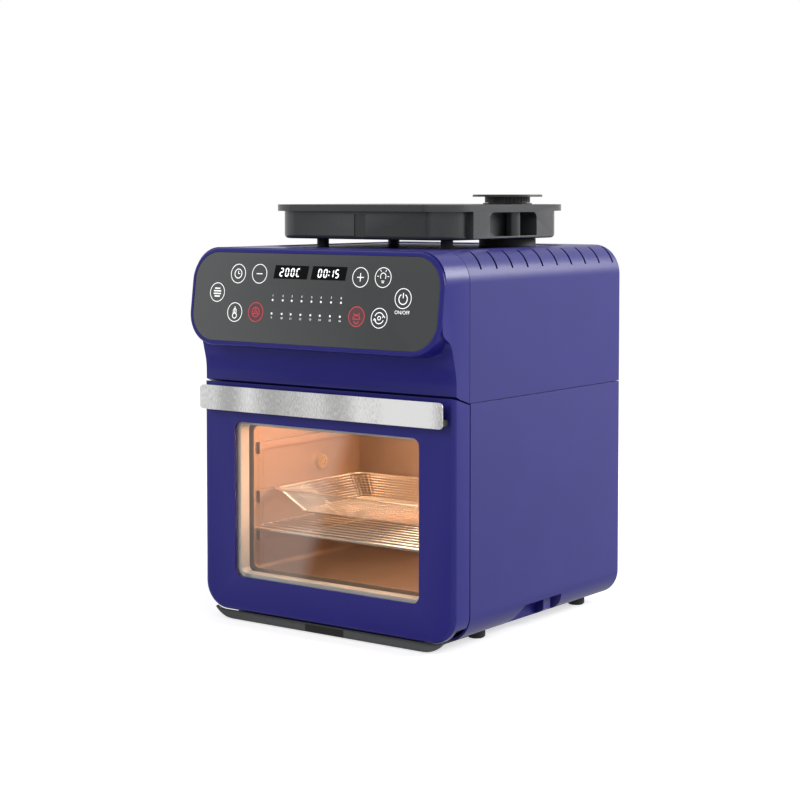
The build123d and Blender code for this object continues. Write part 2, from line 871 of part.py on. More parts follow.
# Cavity liner: steel box with six hooked rails, open in front and under the fan.
liner_outer = cavity_reach + cavity_sheet
rail_run = rail_depth_back - rail_depth_front
lamp_depth = 150.0
lamp_height = 189.5
lamp_hole_radius = 17.0
nozzle_hole_radius = 5.5
probe_across = -70.0
probe_height = 190.0
probe_radius = 2.5
with BuildPart() as cavity_liner:
    with BuildSketch(behind(cavity_back + cavity_sheet)):
        outer = cavity_sheet
        add(upright_outline(liner_outer, cavity_low - outer, cavity_high + outer, 7, 7))
    extrude(amount=cavity_back + cavity_sheet - frame_back)
    with BuildSketch(behind(cavity_back)):
        add(upright_outline(cavity_reach, cavity_low, cavity_high, 6, 6))
    extrude(amount=cavity_back, mode=Mode.SUBTRACT)
    with BuildSketch(across(-liner_outer)):
        for rail_top in rail_heights:
            with BuildLine():
                under = rail_top - rail_height
                Polyline(
                    (rail_depth_front, rail_top),
                    (rail_depth_back, rail_top),
                    (rail_depth_back, under),
                    (rail_depth_front + rail_hook, under),
                    (rail_depth_front + rail_hook / 2, under - rail_hook / 2),
                    (rail_depth_front, under - rail_hook / 2),
                    close=True,
                )
            make_face()
    extrude(amount=cavity_sheet + rail_stand)
    with BuildSketch(across(liner_outer)):
        for rail_top in rail_heights:
            with BuildLine():
                under = rail_top - rail_height
                Polyline(
                    (rail_depth_front, rail_top),
                    (rail_depth_back, rail_top),
                    (rail_depth_back, under),
                    (rail_depth_front + rail_hook, under),
                    (rail_depth_front + rail_hook / 2, under - rail_hook / 2),
                    (rail_depth_front, under - rail_hook / 2),
                    close=True,
                )
            make_face()
    extrude(amount=-cavity_sheet - rail_stand)
    with BuildSketch(level(cavity_high - cavity_sheet)):
        with Locations((0, fan_depth)):
            Circle(roof_hole_radius)
    extrude(amount=3 * cavity_sheet, mode=Mode.SUBTRACT)
    with BuildSketch(across(cavity_reach - cavity_sheet)):
        with Locations((lamp_depth, lamp_height)):
            Circle(lamp_hole_radius)
    extrude(amount=3 * cavity_sheet, mode=Mode.SUBTRACT)
    with BuildSketch(across(-cavity_reach + cavity_sheet)):
        with Locations((nozzle_depth, nozzle_height)):
            Circle(nozzle_hole_radius)
    extrude(amount=-3 * cavity_sheet, mode=Mode.SUBTRACT)
    with BuildSketch(behind(cavity_back + 2 * cavity_sheet)):
        with Locations((probe_across, probe_height)):
            Circle(probe_radius)
    extrude(amount=3 * cavity_sheet, mode=Mode.SUBTRACT)
cavity_liner.part.label = "cavity_liner"
export_step(cavity_liner.part, "parts/cavity_liner.step")

# Cavity supports: two folded channels that stand on the base and carry the liner.
support_reach = 100.0
support_width = 16.0
support_sheet = 1.5
support_depths = (70.0, 175.0)
liner_under = cavity_low - cavity_sheet
with BuildPart() as cavity_supports:
    for support_depth in support_depths:
        with BuildSketch(level(base_top)):
            with Locations((0, support_depth)):
                Rectangle(2 * support_reach, support_width)
        extrude(amount=liner_under - base_top)
        with BuildSketch(behind(support_depth + support_width)):
            with Locations((0, (base_top + liner_under) / 2)):
                Rectangle(2 * (support_reach - support_sheet), liner_under - base_top - 2 * support_sheet)
            with Locations((0, base_top)):
                Rectangle(2 * (support_reach - support_width), 2 * support_width)
        extrude(amount=2 * support_width, mode=Mode.SUBTRACT)
cavity_supports.part.label = "cavity_supports"
export_step(cavity_supports.part, "parts/cavity_supports.step")

# Element guard: slotted disc over the roof hole of the cavity.
with BuildPart() as element_guard:
    with BuildSketch(level(cavity_high - guard_sheet)):
        with Locations((0, fan_depth)):
            Circle(roof_hole_radius + guard_lap)
    extrude(amount=guard_sheet)
    with BuildSketch(level(cavity_high - guard_sheet)):
        with Locations((0, fan_depth)):
            with PolarLocations(54, guard_slots):
                SlotOverall(36, 5)
            with PolarLocations(20, 8):
                SlotOverall(16, 5)
    extrude(amount=guard_sheet, mode=Mode.SUBTRACT)
element_guard.part.label = "element_guard"
export_step(element_guard.part, "parts/element_guard.step")

# Heater housing: spun dome over the roof of the cavity with a flat rim and a shaft hole.
dome_low = cavity_high + cavity_sheet
dome_high = dome_low + dome_height
shaft_hole_radius = 6.0
dome_edge = 10.0
element_leg_gap = 11.0
leg_angle = math.degrees(math.asin(element_leg_gap / element_radius))
leg_across = element_radius * math.cos(math.radians(leg_angle))
with BuildPart() as dome_hollow:
    with BuildSketch(level(dome_low)):
        with Locations((0, fan_depth)):
            Circle(dome_radius - dome_sheet)
    extrude(amount=dome_height - dome_sheet)
    fillet(dome_hollow.edges().group_by(Axis.Z)[-1], dome_edge - dome_sheet)
with BuildPart() as heater_housing:
    with BuildSketch(level(dome_low)):
        with Locations((0, fan_depth)):
            Circle(dome_radius)
    extrude(amount=dome_height)
    fillet(heater_housing.edges().group_by(Axis.Z)[-1], dome_edge)
    with BuildSketch(level(dome_low)):
        with Locations((0, fan_depth)):
            Circle(dome_radius + dome_flange)
    extrude(amount=dome_sheet)
    add(dome_hollow.part, mode=Mode.SUBTRACT)
    with BuildSketch(level(dome_high - 2 * dome_sheet)):
        with Locations((0, fan_depth)):
            Circle(shaft_hole_radius)
        with Locations((leg_across, fan_depth - element_leg_gap), (leg_across, fan_depth + element_leg_gap)):
            Circle(element_tube + 0.3)
    extrude(amount=3 * dome_sheet, mode=Mode.SUBTRACT)
heater_housing.part.label = "heater_housing"
export_step(heater_housing.part, "parts/heater_housing.step")

# Heating element: open ring with two legs up through the dome.
element_height = 233.0
element_bend = 8.0
leg_top = dome_high + 9
element_centre = place(0, fan_depth, element_height)
with BuildPart() as heating_element:
    with BuildLine() as ring_path:
        ring = CenterArc(element_centre, element_radius, leg_angle, 360 - 2 * leg_angle)
    with BuildSketch(Plane(origin=ring @ 0, z_dir=ring % 0)):
        Circle(element_tube)
    sweep(path=ring_path.line)
    for side in (-1, 1):
        leg_place = place(leg_across, fan_depth + side * element_leg_gap, element_height)
        with BuildSketch(Plane(origin=leg_place, z_dir=(0, 0, 1))):
            Circle(element_tube)
        extrude(amount=leg_top - element_height)
        with Locations(leg_place):
            Sphere(element_tube)
heating_element.part.label = "heating_element"
export_step(heating_element.part, "parts/heating_element.step")

# Motor bracket: bridge over the dome, standing on the roof of the cavity.
bridge_reach = 114.0
bridge_sheet = 2.0
bridge_half_depth = 15.0
bridge_foot = 10.0
with BuildPart() as motor_bracket:
    with BuildSketch(behind(fan_depth + bridge_half_depth)):
        with Locations((0, motor_bridge_height + bridge_sheet / 2)):
            Rectangle(2 * bridge_reach, bridge_sheet)
        for side in (-1, 1):
            with Locations((side * (bridge_reach - bridge_sheet / 2), (dome_low + motor_bridge_height) / 2)):
                Rectangle(bridge_sheet, motor_bridge_height - dome_low)
            with Locations((side * (bridge_reach + bridge_foot / 2 - bridge_sheet), dome_low + bridge_sheet / 2)):
                Rectangle(bridge_foot, bridge_sheet)
    extrude(amount=2 * bridge_half_depth)
    with BuildSketch(level(motor_bridge_height)):
        with Locations((0, fan_depth)):
            Circle(shaft_hole_radius)
    extrude(amount=bridge_sheet, mode=Mode.SUBTRACT)
motor_bracket.part.label = "motor_bracket"
export_step(motor_bracket.part, "parts/motor_bracket.step")

# Fan motor: square laminated body with a bearing cap, on the bridge.
motor_low = motor_bridge_height + bridge_sheet
bearing_radius = 13.0
bearing_height = 5.0
with BuildPart() as fan_motor:
    with BuildSketch(level(motor_low)):
        with Locations((0, fan_depth)):
            RectangleRounded(motor_side, motor_side, 8)
    extrude(amount=motor_height)
    with BuildSketch(level(motor_low + motor_height)):
        with Locations((0, fan_depth)):
            Circle(bearing_radius)
    extrude(amount=bearing_height)
    with BuildSketch(level(motor_low)):
        with Locations((0, fan_depth)):
            Circle(shaft_radius + shaft_running)
    extrude(amount=motor_height + bearing_height, mode=Mode.SUBTRACT)
fan_motor.part.label = "fan_motor"
export_step(fan_motor.part, "parts/fan_motor.step")

# Motor shaft: through the motor, the cooling fan and the convection fan.
shaft_low = 226.0
shaft_high = motor_low + motor_height + bearing_height + 3
with BuildPart() as motor_shaft:
    with BuildSketch(level(shaft_low)):
        with Locations((0, fan_depth)):
            Circle(shaft_radius)
    extrude(amount=shaft_high - shaft_low)
motor_shaft.part.label = "motor_shaft"
export_step(motor_shaft.part, "parts/motor_shaft.step")

# Convection fan: disc with nine upright blades inside the heating ring.
fan_low = 224.0
fan_disc = 1.2
fan_hub_radius = 10.0
with BuildPart() as convection_fan:
    with BuildSketch(level(fan_low + fan_blade_height)):
        with Locations((0, fan_depth)):
            Circle(fan_radius)
    extrude(amount=fan_disc)
    with BuildSketch(level(fan_low)):
        with Locations((0, fan_depth)):
            Circle(fan_hub_radius)
            with PolarLocations(32, fan_blades):
                Rectangle(40, 1.2, rotation=24)
    extrude(amount=fan_blade_height)
    with BuildSketch(level(fan_low)):
        with Locations((0, fan_depth)):
            Circle(shaft_radius)
    extrude(amount=fan_blade_height + fan_disc, mode=Mode.SUBTRACT)
convection_fan.part.label = "convection_fan"
export_step(convection_fan.part, "parts/convection_fan.step")

# Cooling fan: small wheel between the dome and the bridge.
cooling_disc = 1.5
cooling_blade = 10.0
with BuildPart() as cooling_fan:
    with BuildSketch(level(cooling_height)):
        with Locations((0, fan_depth)):
            Circle(cooling_radius)
    extrude(amount=cooling_disc)
    with BuildSketch(level(cooling_height)):
        with Locations((0, fan_depth)):
            Circle(fan_hub_radius)
            with PolarLocations(27, 7):
                Rectangle(30, 1.5, rotation=-20)
    extrude(amount=cooling_blade)
    with BuildSketch(level(cooling_height)):
        with Locations((0, fan_depth)):
            Circle(shaft_radius)
    extrude(amount=cooling_blade, mode=Mode.SUBTRACT)
cooling_fan.part.label = "cooling_fan"
export_step(cooling_fan.part, "parts/cooling_fan.step")

# Thermostat: round switch on the roof of the cavity.
thermostat_across = -110.0
thermostat_depth = 60.0
with BuildPart() as thermostat:
    with BuildSketch(level(dome_low)):
        with Locations((thermostat_across, thermostat_depth)):
            SlotOverall(30, 11, rotation=90)
    extrude(amount=1.5)
    with BuildSketch(level(dome_low)):
        with Locations((thermostat_across, thermostat_depth)):
            Circle(8)
    extrude(amount=12)
    with BuildSketch(level(dome_low + 12)):
        with Locations((thermostat_across - 3, thermostat_depth), (thermostat_across + 3, thermostat_depth)):
            Rectangle(0.8, 6)
    extrude(amount=7)
thermostat.part.label = "thermostat"
export_step(thermostat.part, "parts/thermostat.step")

# Temperature probe: thin rod through the back wall with a flange outside.
probe_length = 27.0
with BuildPart() as temperature_probe:
    with BuildSketch(behind(cavity_back + cavity_sheet)):
        with Locations((probe_across, probe_height)):
            Circle(probe_radius)
    extrude(amount=probe_length + cavity_sheet)
    fillet(temperature_probe.edges().sort_by(Axis.Y)[0], probe_radius - 0.5)
    with BuildSketch(behind(cavity_back + cavity_sheet + 3)):
        with Locations((probe_across, probe_height)):
            RegularPolygon(7, 6)
    extrude(amount=3)
temperature_probe.part.label = "temperature_probe"
export_step(temperature_probe.part, "parts/temperature_probe.step")

# Cavity lamp: glass dish inside, cup outside and a small bulb between them.
lamp_glass_radius = 20.0
lamp_cup_radius = 20.0
lamp_cup_length = 20.0
lamp_cup_wall = 1.2
with BuildPart() as lamp_glass:
    with BuildSketch(across(cavity_reach)):
        with Locations((lamp_depth, lamp_height)):
            Circle(lamp_glass_radius)
    extrude(amount=-4, taper=30)
    with BuildSketch(across(cavity_reach)):
        with Locations((lamp_depth, lamp_height)):
            Circle(lamp_hole_radius - 0.5)
    extrude(amount=cavity_sheet + 2)
lamp_glass.part.label = "lamp_glass"
export_step(lamp_glass.part, "parts/lamp_glass.step")
with BuildPart() as lamp_housing:
    with BuildSketch(across(liner_outer)):
        with Locations((lamp_depth, lamp_height)):
            Circle(lamp_cup_radius)
    extrude(amount=lamp_cup_length)
    with BuildSketch(across(liner_outer)):
        with Locations((lamp_depth, lamp_height)):
            Circle(lamp_cup_radius - lamp_cup_wall)
    extrude(amount=lamp_cup_length - lamp_cup_wall, mode=Mode.SUBTRACT)
lamp_housing.part.label = "lamp_housing"
export_step(lamp_housing.part, "parts/lamp_housing.step")
bulb_radius = 6.5
bulb_middle = 9.0
bulb_neck_radius = bulb_radius - 1
bulb_neck_end = bulb_middle - math.sqrt(bulb_radius**2 - bulb_neck_radius**2)
bulb_seat = place(liner_outer + lamp_cup_length - lamp_cup_wall, lamp_depth, lamp_height)
bulb_plane = Plane(origin=bulb_seat, x_dir=(1, 0, 0), z_dir=(0, -1, 0))
with BuildPart() as lamp_bulb:
    with BuildSketch(bulb_plane):
        with BuildLine():
            Line((0, 0), (0, bulb_neck_radius))
            Line((0, bulb_neck_radius), (-bulb_neck_end, bulb_neck_radius))
            ThreePointArc(
                (-bulb_neck_end, bulb_neck_radius),
                (-bulb_middle, bulb_radius),
                (-bulb_middle - bulb_radius, 0),
            )
            Line((-bulb_middle - bulb_radius, 0), (0, 0))
        make_face()
    revolve(axis=Axis(bulb_plane.origin, bulb_plane.x_dir))
lamp_bulb.part.label = "lamp_bulb"
export_step(lamp_bulb.part, "parts/lamp_bulb.step")

# Steam nozzle: block outside the left wall with a round outlet inside.
nozzle_side = 20.0
nozzle_length = 20.0
nozzle_cap_radius = 9.0
pipe_across = liner_outer + nozzle_length / 2
pipe_dip = 8.0
with BuildPart() as steam_nozzle:
    with BuildSketch(across(-liner_outer)):
        with Locations((nozzle_depth, nozzle_height)):
            RectangleRounded(nozzle_side, nozzle_side, 2)
    extrude(amount=-nozzle_length)
    with BuildSketch(across(-liner_outer)):
        with Locations((nozzle_depth, nozzle_height)):
            Circle(nozzle_hole_radius - 0.5)
    extrude(amount=cavity_sheet)
    with BuildSketch(across(-cavity_reach)):
        with Locations((nozzle_depth, nozzle_height)):
            Circle(nozzle_cap_radius)
    extrude(amount=4.5, taper=20)
    with BuildSketch(across(-cavity_reach + 1)):
        with Locations((nozzle_depth, nozzle_height)):
            with PolarLocations(4, 6):
                Circle(1)
    extrude(amount=6, mode=Mode.SUBTRACT)
    with BuildSketch(behind(nozzle_depth + nozzle_side / 2)):
        with Locations((-pipe_across, nozzle_height)):
            Circle(pipe_radius)
    extrude(amount=pipe_dip, mode=Mode.SUBTRACT)
steam_nozzle.part.label = "steam_nozzle"
export_step(steam_nozzle.part, "parts/steam_nozzle.step")


def bent_path(points, bend):
    """Centre line of a pipe through the given points, with every corner rounded."""
    with BuildLine() as path:
        start = points[0]
        for before, corner, after in zip(points, points[1:], points[2:]):
            run_in = (corner - before).normalized()
            run_out = (after - corner).normalized()
            cut = bend * math.tan(math.radians(run_in.get_angle(run_out)) / 2)
            Line(start, corner - run_in * cut)
            TangentArc(corner - run_in * cut, corner + run_out * cut, tangent=run_in)
            start = corner + run_out * cut
        Line(start, points[-1])
    return path.wire()


# Steam generator: heated block on the base behind the cavity, with an outlet on top.
generator_length = 80.0
generator_depth = 40.0
generator_low = 12.0
generator_high = 66.0
outlet_height = 8.0
outlet_radius = 6.5
pipe_bend = 15.0
with BuildPart() as steam_generator:
    with BuildSketch(level(generator_low)):
        with Locations((generator_middle, pipe_row)):
            RectangleRounded(generator_length, generator_depth - 8, 6)
    extrude(amount=generator_high - generator_low)
    chamfer(steam_generator.edges().group_by(Axis.Z)[-1], 2)
    with BuildSketch(level(base_top)):
        with Locations((generator_middle, pipe_row)):
            with GridLocations(generator_length - 16, generator_depth - 20, 2, 2):
                Circle(3.5)
    extrude(amount=generator_low - base_top)
    with BuildSketch(level(generator_high)):
        with Locations((generator_middle, pipe_row)):
            Circle(outlet_radius)
    extrude(amount=outlet_height)
    with BuildSketch(level(generator_high + outlet_height)):
        with Locations((generator_middle, pipe_row)):
            Circle(pipe_radius)
    extrude(amount=-pipe_dip, mode=Mode.SUBTRACT)
    with BuildSketch(across(generator_middle + generator_length / 2)):
        with Locations((pipe_row, pump_height)):
            Circle(pipe_radius)
    extrude(amount=-pipe_dip, mode=Mode.SUBTRACT)
steam_generator.part.label = "steam_generator"
export_step(steam_generator.part, "parts/steam_generator.step")

# Steam pipe: from the generator up, across and forward to the nozzle.
steam_points = [
    place(generator_middle, pipe_row, generator_high + outlet_height - pipe_dip),
    place(generator_middle, pipe_row, nozzle_height),
    place(-pipe_across, pipe_row, nozzle_height),
    place(-pipe_across, nozzle_depth + nozzle_side / 2 - pipe_dip, nozzle_height),
]
steam_line = bent_path(steam_points, pipe_bend)
with BuildPart() as steam_pipe:
    with BuildSketch(Plane(origin=steam_line @ 0, z_dir=steam_line % 0)):
        Circle(pipe_radius)
        Circle(pipe_radius - 1, mode=Mode.SUBTRACT)
    sweep(path=steam_line)
steam_pipe.part.label = "steam_pipe"
export_step(steam_pipe.part, "parts/steam_pipe.step")

# Water pump: lying cylinder in a saddle, with a port on top and one at the end.
pump_left = 36.0
pump_length = 56.0
pump_radius = 15.0
port_radius = 6.0
port_top = 48.0
with BuildPart() as water_pump:
    with BuildSketch(across(pump_left)):
        with Locations((pipe_row, pump_height)):
            Circle(pump_radius)
    extrude(amount=pump_length)
    with BuildSketch(level(base_top)):
        with Locations((pump_left + pump_length / 2, pipe_row)):
            Rectangle(pump_length - 20, 26)
    extrude(amount=pump_height - base_top)
    with BuildSketch(level(pump_height)):
        with Locations((cap_across, pipe_row)):
            Circle(port_radius)
    extrude(amount=port_top - pump_height)
    with BuildSketch(level(port_top)):
        with Locations((cap_across, pipe_row)):
            Circle(pipe_radius)
    extrude(amount=-pipe_dip, mode=Mode.SUBTRACT)
    with BuildSketch(across(pump_left)):
        with Locations((pipe_row, pump_height)):
            Circle(pipe_radius)
    extrude(amount=pipe_dip, mode=Mode.SUBTRACT)
water_pump.part.label = "water_pump"
export_step(water_pump.part, "parts/water_pump.step")

# Transfer pipe: short straight hose from the pump to the generator.
transfer_left = generator_middle + generator_length / 2 - pipe_dip
with BuildPart() as transfer_pipe:
    with BuildSketch(across(transfer_left)):
        with Locations((pipe_row, pump_height)):
            Circle(pipe_radius)
            Circle(pipe_radius - 1, mode=Mode.SUBTRACT)
    extrude(amount=pump_left + pipe_dip - transfer_left)
transfer_pipe.part.label = "transfer_pipe"
export_step(transfer_pipe.part, "parts/transfer_pipe.step")

# Water dock: round socket on the deck with its stem through the roof of the body.
bay_floor = deck_height - deck_recess
seat_height = tank_low - carry_gap
stem_low = 345.0
socket_low = 361.0
with BuildPart() as water_dock:
    with BuildSketch(level(bay_floor)):
        with Locations((cap_across, cap_depth)):
            Circle(dock_radius)
    extrude(amount=seat_height - bay_floor)
    fillet(water_dock.edges().group_by(Axis.Z)[-1], 1.5)
    with BuildSketch(level(stem_low)):
        with Locations((cap_across, cap_depth)):
            Circle(dock_stem_radius)
    extrude(amount=bay_floor - stem_low)
    with BuildSketch(level(socket_low)):
        with Locations((cap_across, cap_depth)):
            Circle(socket_radius)
    extrude(amount=seat_height - socket_low, mode=Mode.SUBTRACT)
    with BuildSketch(level(stem_low)):
        with Locations((cap_across, cap_depth)):
            Circle(pipe_radius)
    extrude(amount=socket_low - stem_low, mode=Mode.SUBTRACT)
water_dock.part.label = "water_dock"
export_step(water_dock.part, "parts/water_dock.step")

# Feed pipe: from the dock down behind the cavity to the pump.
feed_step = pipe_row - cap_depth
feed_high = 305.0
feed_points = [
    place(cap_across, cap_depth, stem_low + pipe_dip),
    place(cap_across, cap_depth, feed_high),
    place(cap_across, pipe_row, feed_high - feed_step),
    place(cap_across, pipe_row, port_top - pipe_dip),
]
feed_line = bent_path(feed_points, 2 * pipe_bend)
with BuildPart() as feed_pipe:
    with BuildSketch(Plane(origin=feed_line @ 0, z_dir=feed_line % 0)):
        Circle(pipe_radius)
        Circle(pipe_radius - 1, mode=Mode.SUBTRACT)
    sweep(path=feed_line)
feed_pipe.part.label = "feed_pipe"
export_step(feed_pipe.part, "parts/feed_pipe.step")

# Tank posts: three round pads on the deck that carry the tank.
with BuildPart() as tank_posts:
    with BuildSketch(level(bay_floor)):
        with Locations((-post_reach, post_front), (post_reach, post_front), (-post_reach, post_back)):
            Circle(post_radius)
    extrude(amount=seat_height - bay_floor)
    fillet(tank_posts.edges().group_by(Axis.Z)[-1], 1)
tank_posts.part.label = "tank_posts"
export_step(tank_posts.part, "parts/tank_posts.step")

# Power board: circuit board on four standoffs at the rear cover, behind the motor.
power_half_width = 60.0
power_low = 250.0
power_high = 350.0
power_standoff = 9.5
cover_inside_depth = cover_back - cover_sheet
power_middle = (power_low + power_high) / 2
with BuildPart() as power_board:
    with BuildSketch(behind(cover_inside_depth - power_standoff)):
        with Locations((0, power_middle)):
            Rectangle(2 * power_half_width, power_high - power_low)
    extrude(amount=board_sheet)
    with BuildSketch(behind(cover_inside_depth)):
        with Locations((0, power_middle)):
            with GridLocations(2 * power_half_width - 8, power_high - power_low - 8, 2, 2):
                Circle(3)
    extrude(amount=power_standoff)
    with BuildSketch(behind(cover_inside_depth - power_standoff - board_sheet)):
        with Locations((-38, 325), (-8, 325)):
            Rectangle(22, 28)
        with Locations((30, 320)):
            Rectangle(34, 36)
        with Locations((-30, 275), (14, 275)):
            Circle(8)
    extrude(amount=9)
power_board.part.label = "power_board"
export_step(power_board.part, "parts/power_board.step")

# Tray rails: two angle rails under the body that carry the condensate tray.
track_outer = 121.0
track_inner = 118.0
track_low = -6.0
track_step = -3.6
track_sheet = 1.3
track_front = 12.0
with BuildPart() as tray_rails:
    with BuildSketch(behind(tray_back)):
        for side in (-1, 1):
            with Locations((side * (track_outer + track_inner) / 2, track_low / 2)):
                Rectangle(track_outer - track_inner, -track_low)
            with Locations((side * (track_inner - 2.4), track_step + track_sheet / 2)):
                Rectangle(5, track_sheet)
    extrude(amount=tray_back - track_front)
tray_rails.part.label = "tray_rails"
export_step(tray_rails.part, "parts/tray_rails.step")

# Condensate tray: shallow tray with side flanges and a curved strip in front.
strip_high = door_low - tray_gap - 0.1
strip_bend = bottom_radius + door_low - strip_high
strip_bend_across = half_width - bottom_radius
tray_tip_reach = strip_bend_across + tray_tip_wrap
tip_height = strip_high + strip_bend - math.sqrt(strip_bend**2 - tray_tip_wrap**2)
flange_low = track_step + track_sheet + rail_play
with BuildPart() as condensate_tray:
    with BuildSketch(behind(tray_front + tray_lip)):
        with BuildLine():
            Line((0, tray_low), (strip_bend_across - 10, tray_low))
            Spline((strip_bend_across - 10, tray_low), (strip_bend_across + 3, -4.9), (tray_tip_reach, tip_height - 1.2), tangents=((1, 0), (1, 1)))
            Line((tray_tip_reach, tip_height - 1.2), (tray_tip_reach, tip_height))
            RadiusArc((tray_tip_reach, tip_height), (strip_bend_across, strip_high), strip_bend)
            Line((strip_bend_across, strip_high), (0, strip_high))
            Line((0, strip_high), (0, tray_low))
        make_face()
    extrude(amount=tray_lip)
    with BuildSketch(behind(tray_front + tray_lip)):
        with Locations((0, strip_high)):
            Rectangle(2 * notch_reach, 7)
    extrude(amount=tray_lip, mode=Mode.SUBTRACT)
    with BuildSketch(level(tray_low)):
        add(flat_outline(tray_reach, tray_front + tray_lip - tray_wall, tray_back, 3))
    extrude(amount=tray_high - tray_low)
    with BuildSketch(level(flange_low)):
        with Locations((0, (tray_front + tray_lip + tray_back) / 2)):
            Rectangle(2 * (track_inner - 0.5), tray_back - tray_front - tray_lip - 18)
    extrude(amount=tray_high - flange_low)
    with BuildSketch(level(tray_low + tray_wall)):
        add(flat_outline(tray_reach - tray_wall, tray_front + tray_lip, tray_back - tray_wall, 2))
    extrude(amount=tray_high - tray_low, mode=Mode.SUBTRACT)
    with BuildSketch(across(0)):
        Rectangle(4 * tray_back, 100)
    extrude(amount=-half_width, mode=Mode.SUBTRACT)
    mirror(about=Plane.YZ)
    for side in (-1, 1):
        split(bisect_by=Plane.YZ.offset(side * strip_bend_across), keep=Keep.BOTH)
condensate_tray.part.label = "condensate_tray"
export_step(condensate_tray.part, "parts/condensate_tray.step")

# Wire rack: two side rods on the lowest rails, cross wires on top and two stiffening wires.
rod_across = cavity_reach - rack_play - 0.2 - rack_rod
rod_height = rail_heights[0] + carry_gap + rack_rod
wire_height = rod_height + rack_rod
stiffener_across = 60.0
rod_middle = (rack_front + rack_back) / 2
wire_pitch = (rack_back - rack_front - 12) / (rack_wires - 1)
with BuildPart() as wire_rack:
    with BuildSketch(behind(rack_back)):
        with Locations((-rod_across, rod_height), (rod_across, rod_height)):
            Circle(rack_rod)
        with Locations((-stiffener_across, rod_height), (stiffener_across, rod_height)):
            Circle(rack_rod - 0.3)
    extrude(amount=rack_back - rack_front)
    with BuildSketch(across(-rod_across)):
        with Locations((rod_middle, wire_height)):
            with GridLocations(wire_pitch, 0, rack_wires, 1):
                Circle(rack_wire)
    extrude(amount=2 * rod_across)
    with BuildSketch(across(-rod_across)):
        with Locations((rack_front, rod_height), (rack_back, rod_height)):
            Circle(rack_rod - 0.2)
    extrude(amount=2 * rod_across)
wire_rack.part.label = "wire_rack"
export_step(wire_rack.part, "parts/wire_rack.step")

# Mesh basket: flat rim on the middle rails and tapered sides down to a perforated floor.
rim_low = rail_heights[1] + carry_gap
floor_low = rim_low - basket_drop
mouth_reach = basket_rim_reach - basket_rim
mouth_front = basket_front + basket_rim
mouth_back = basket_back - basket_rim
mouth_corner = basket_corner - basket_rim
foot_reach_in = mouth_reach - basket_taper
floor_corner = 8.0
hole_radius = 2.6
hole_pitch = 12.0
with BuildPart() as basket_hollow:
    with BuildSketch(level(rim_low + basket_sheet)):
        add(flat_outline(mouth_reach - basket_sheet, mouth_front + basket_sheet, mouth_back - basket_sheet, mouth_corner))
    with BuildSketch(level(floor_low + basket_sheet)):
        add(flat_outline(foot_reach_in - basket_sheet, mouth_front + 16, mouth_back - 16, floor_corner))
    loft()
with BuildPart() as mesh_basket:
    with BuildSketch(level(rim_low)):
        add(flat_outline(mouth_reach, mouth_front, mouth_back, mouth_corner))
    with BuildSketch(level(floor_low)):
        add(flat_outline(foot_reach_in, mouth_front + 16 - basket_sheet, mouth_back - 16 + basket_sheet, floor_corner))
    loft()
    with BuildSketch(level(rim_low)):
        add(flat_outline(basket_rim_reach, basket_front, basket_back, basket_corner))
    extrude(amount=basket_sheet)
    add(basket_hollow.part, mode=Mode.SUBTRACT)
    with BuildSketch(level(floor_low)):
        with Locations((0, (mouth_front + mouth_back) / 2)):
            with GridLocations(hole_pitch, hole_pitch, 15, 9):
                Circle(hole_radius)
    extrude(amount=2 * basket_sheet, mode=Mode.SUBTRACT)
mesh_basket.part.label = "mesh_basket"
export_step(mesh_basket.part, "parts/mesh_basket.step")

# Water tank: deep tray with a wide rim, a grip pocket in each side and a seat for the lid.
grip_face = tank_reach + tank_rim
lid_floor = 409.2
grip_box = tank_grip_depth + tank_wall
column_radius = 7.5
column_across = 104.0
column_depth = 176.0
groove_reach = 7.0
groove_middle = 2.0


def grip_pocket(margin, depth, height_margin):
    """Side grip of the tank, drawn on its own side face, straight below and round at the top."""
    front = tank_grip_front - margin
    back = tank_grip_back + margin
    low = tank_grip_low - height_margin
    high = tank_grip_high + height_margin
    with BuildSketch() as outline:
        with BuildLine():
            Polyline((front, low), (back, low), (back, high), (front, high), close=True)
        make_face()
        fillet(outline.vertices().group_by(Axis.Y)[-1], 7)
    return outline.sketch


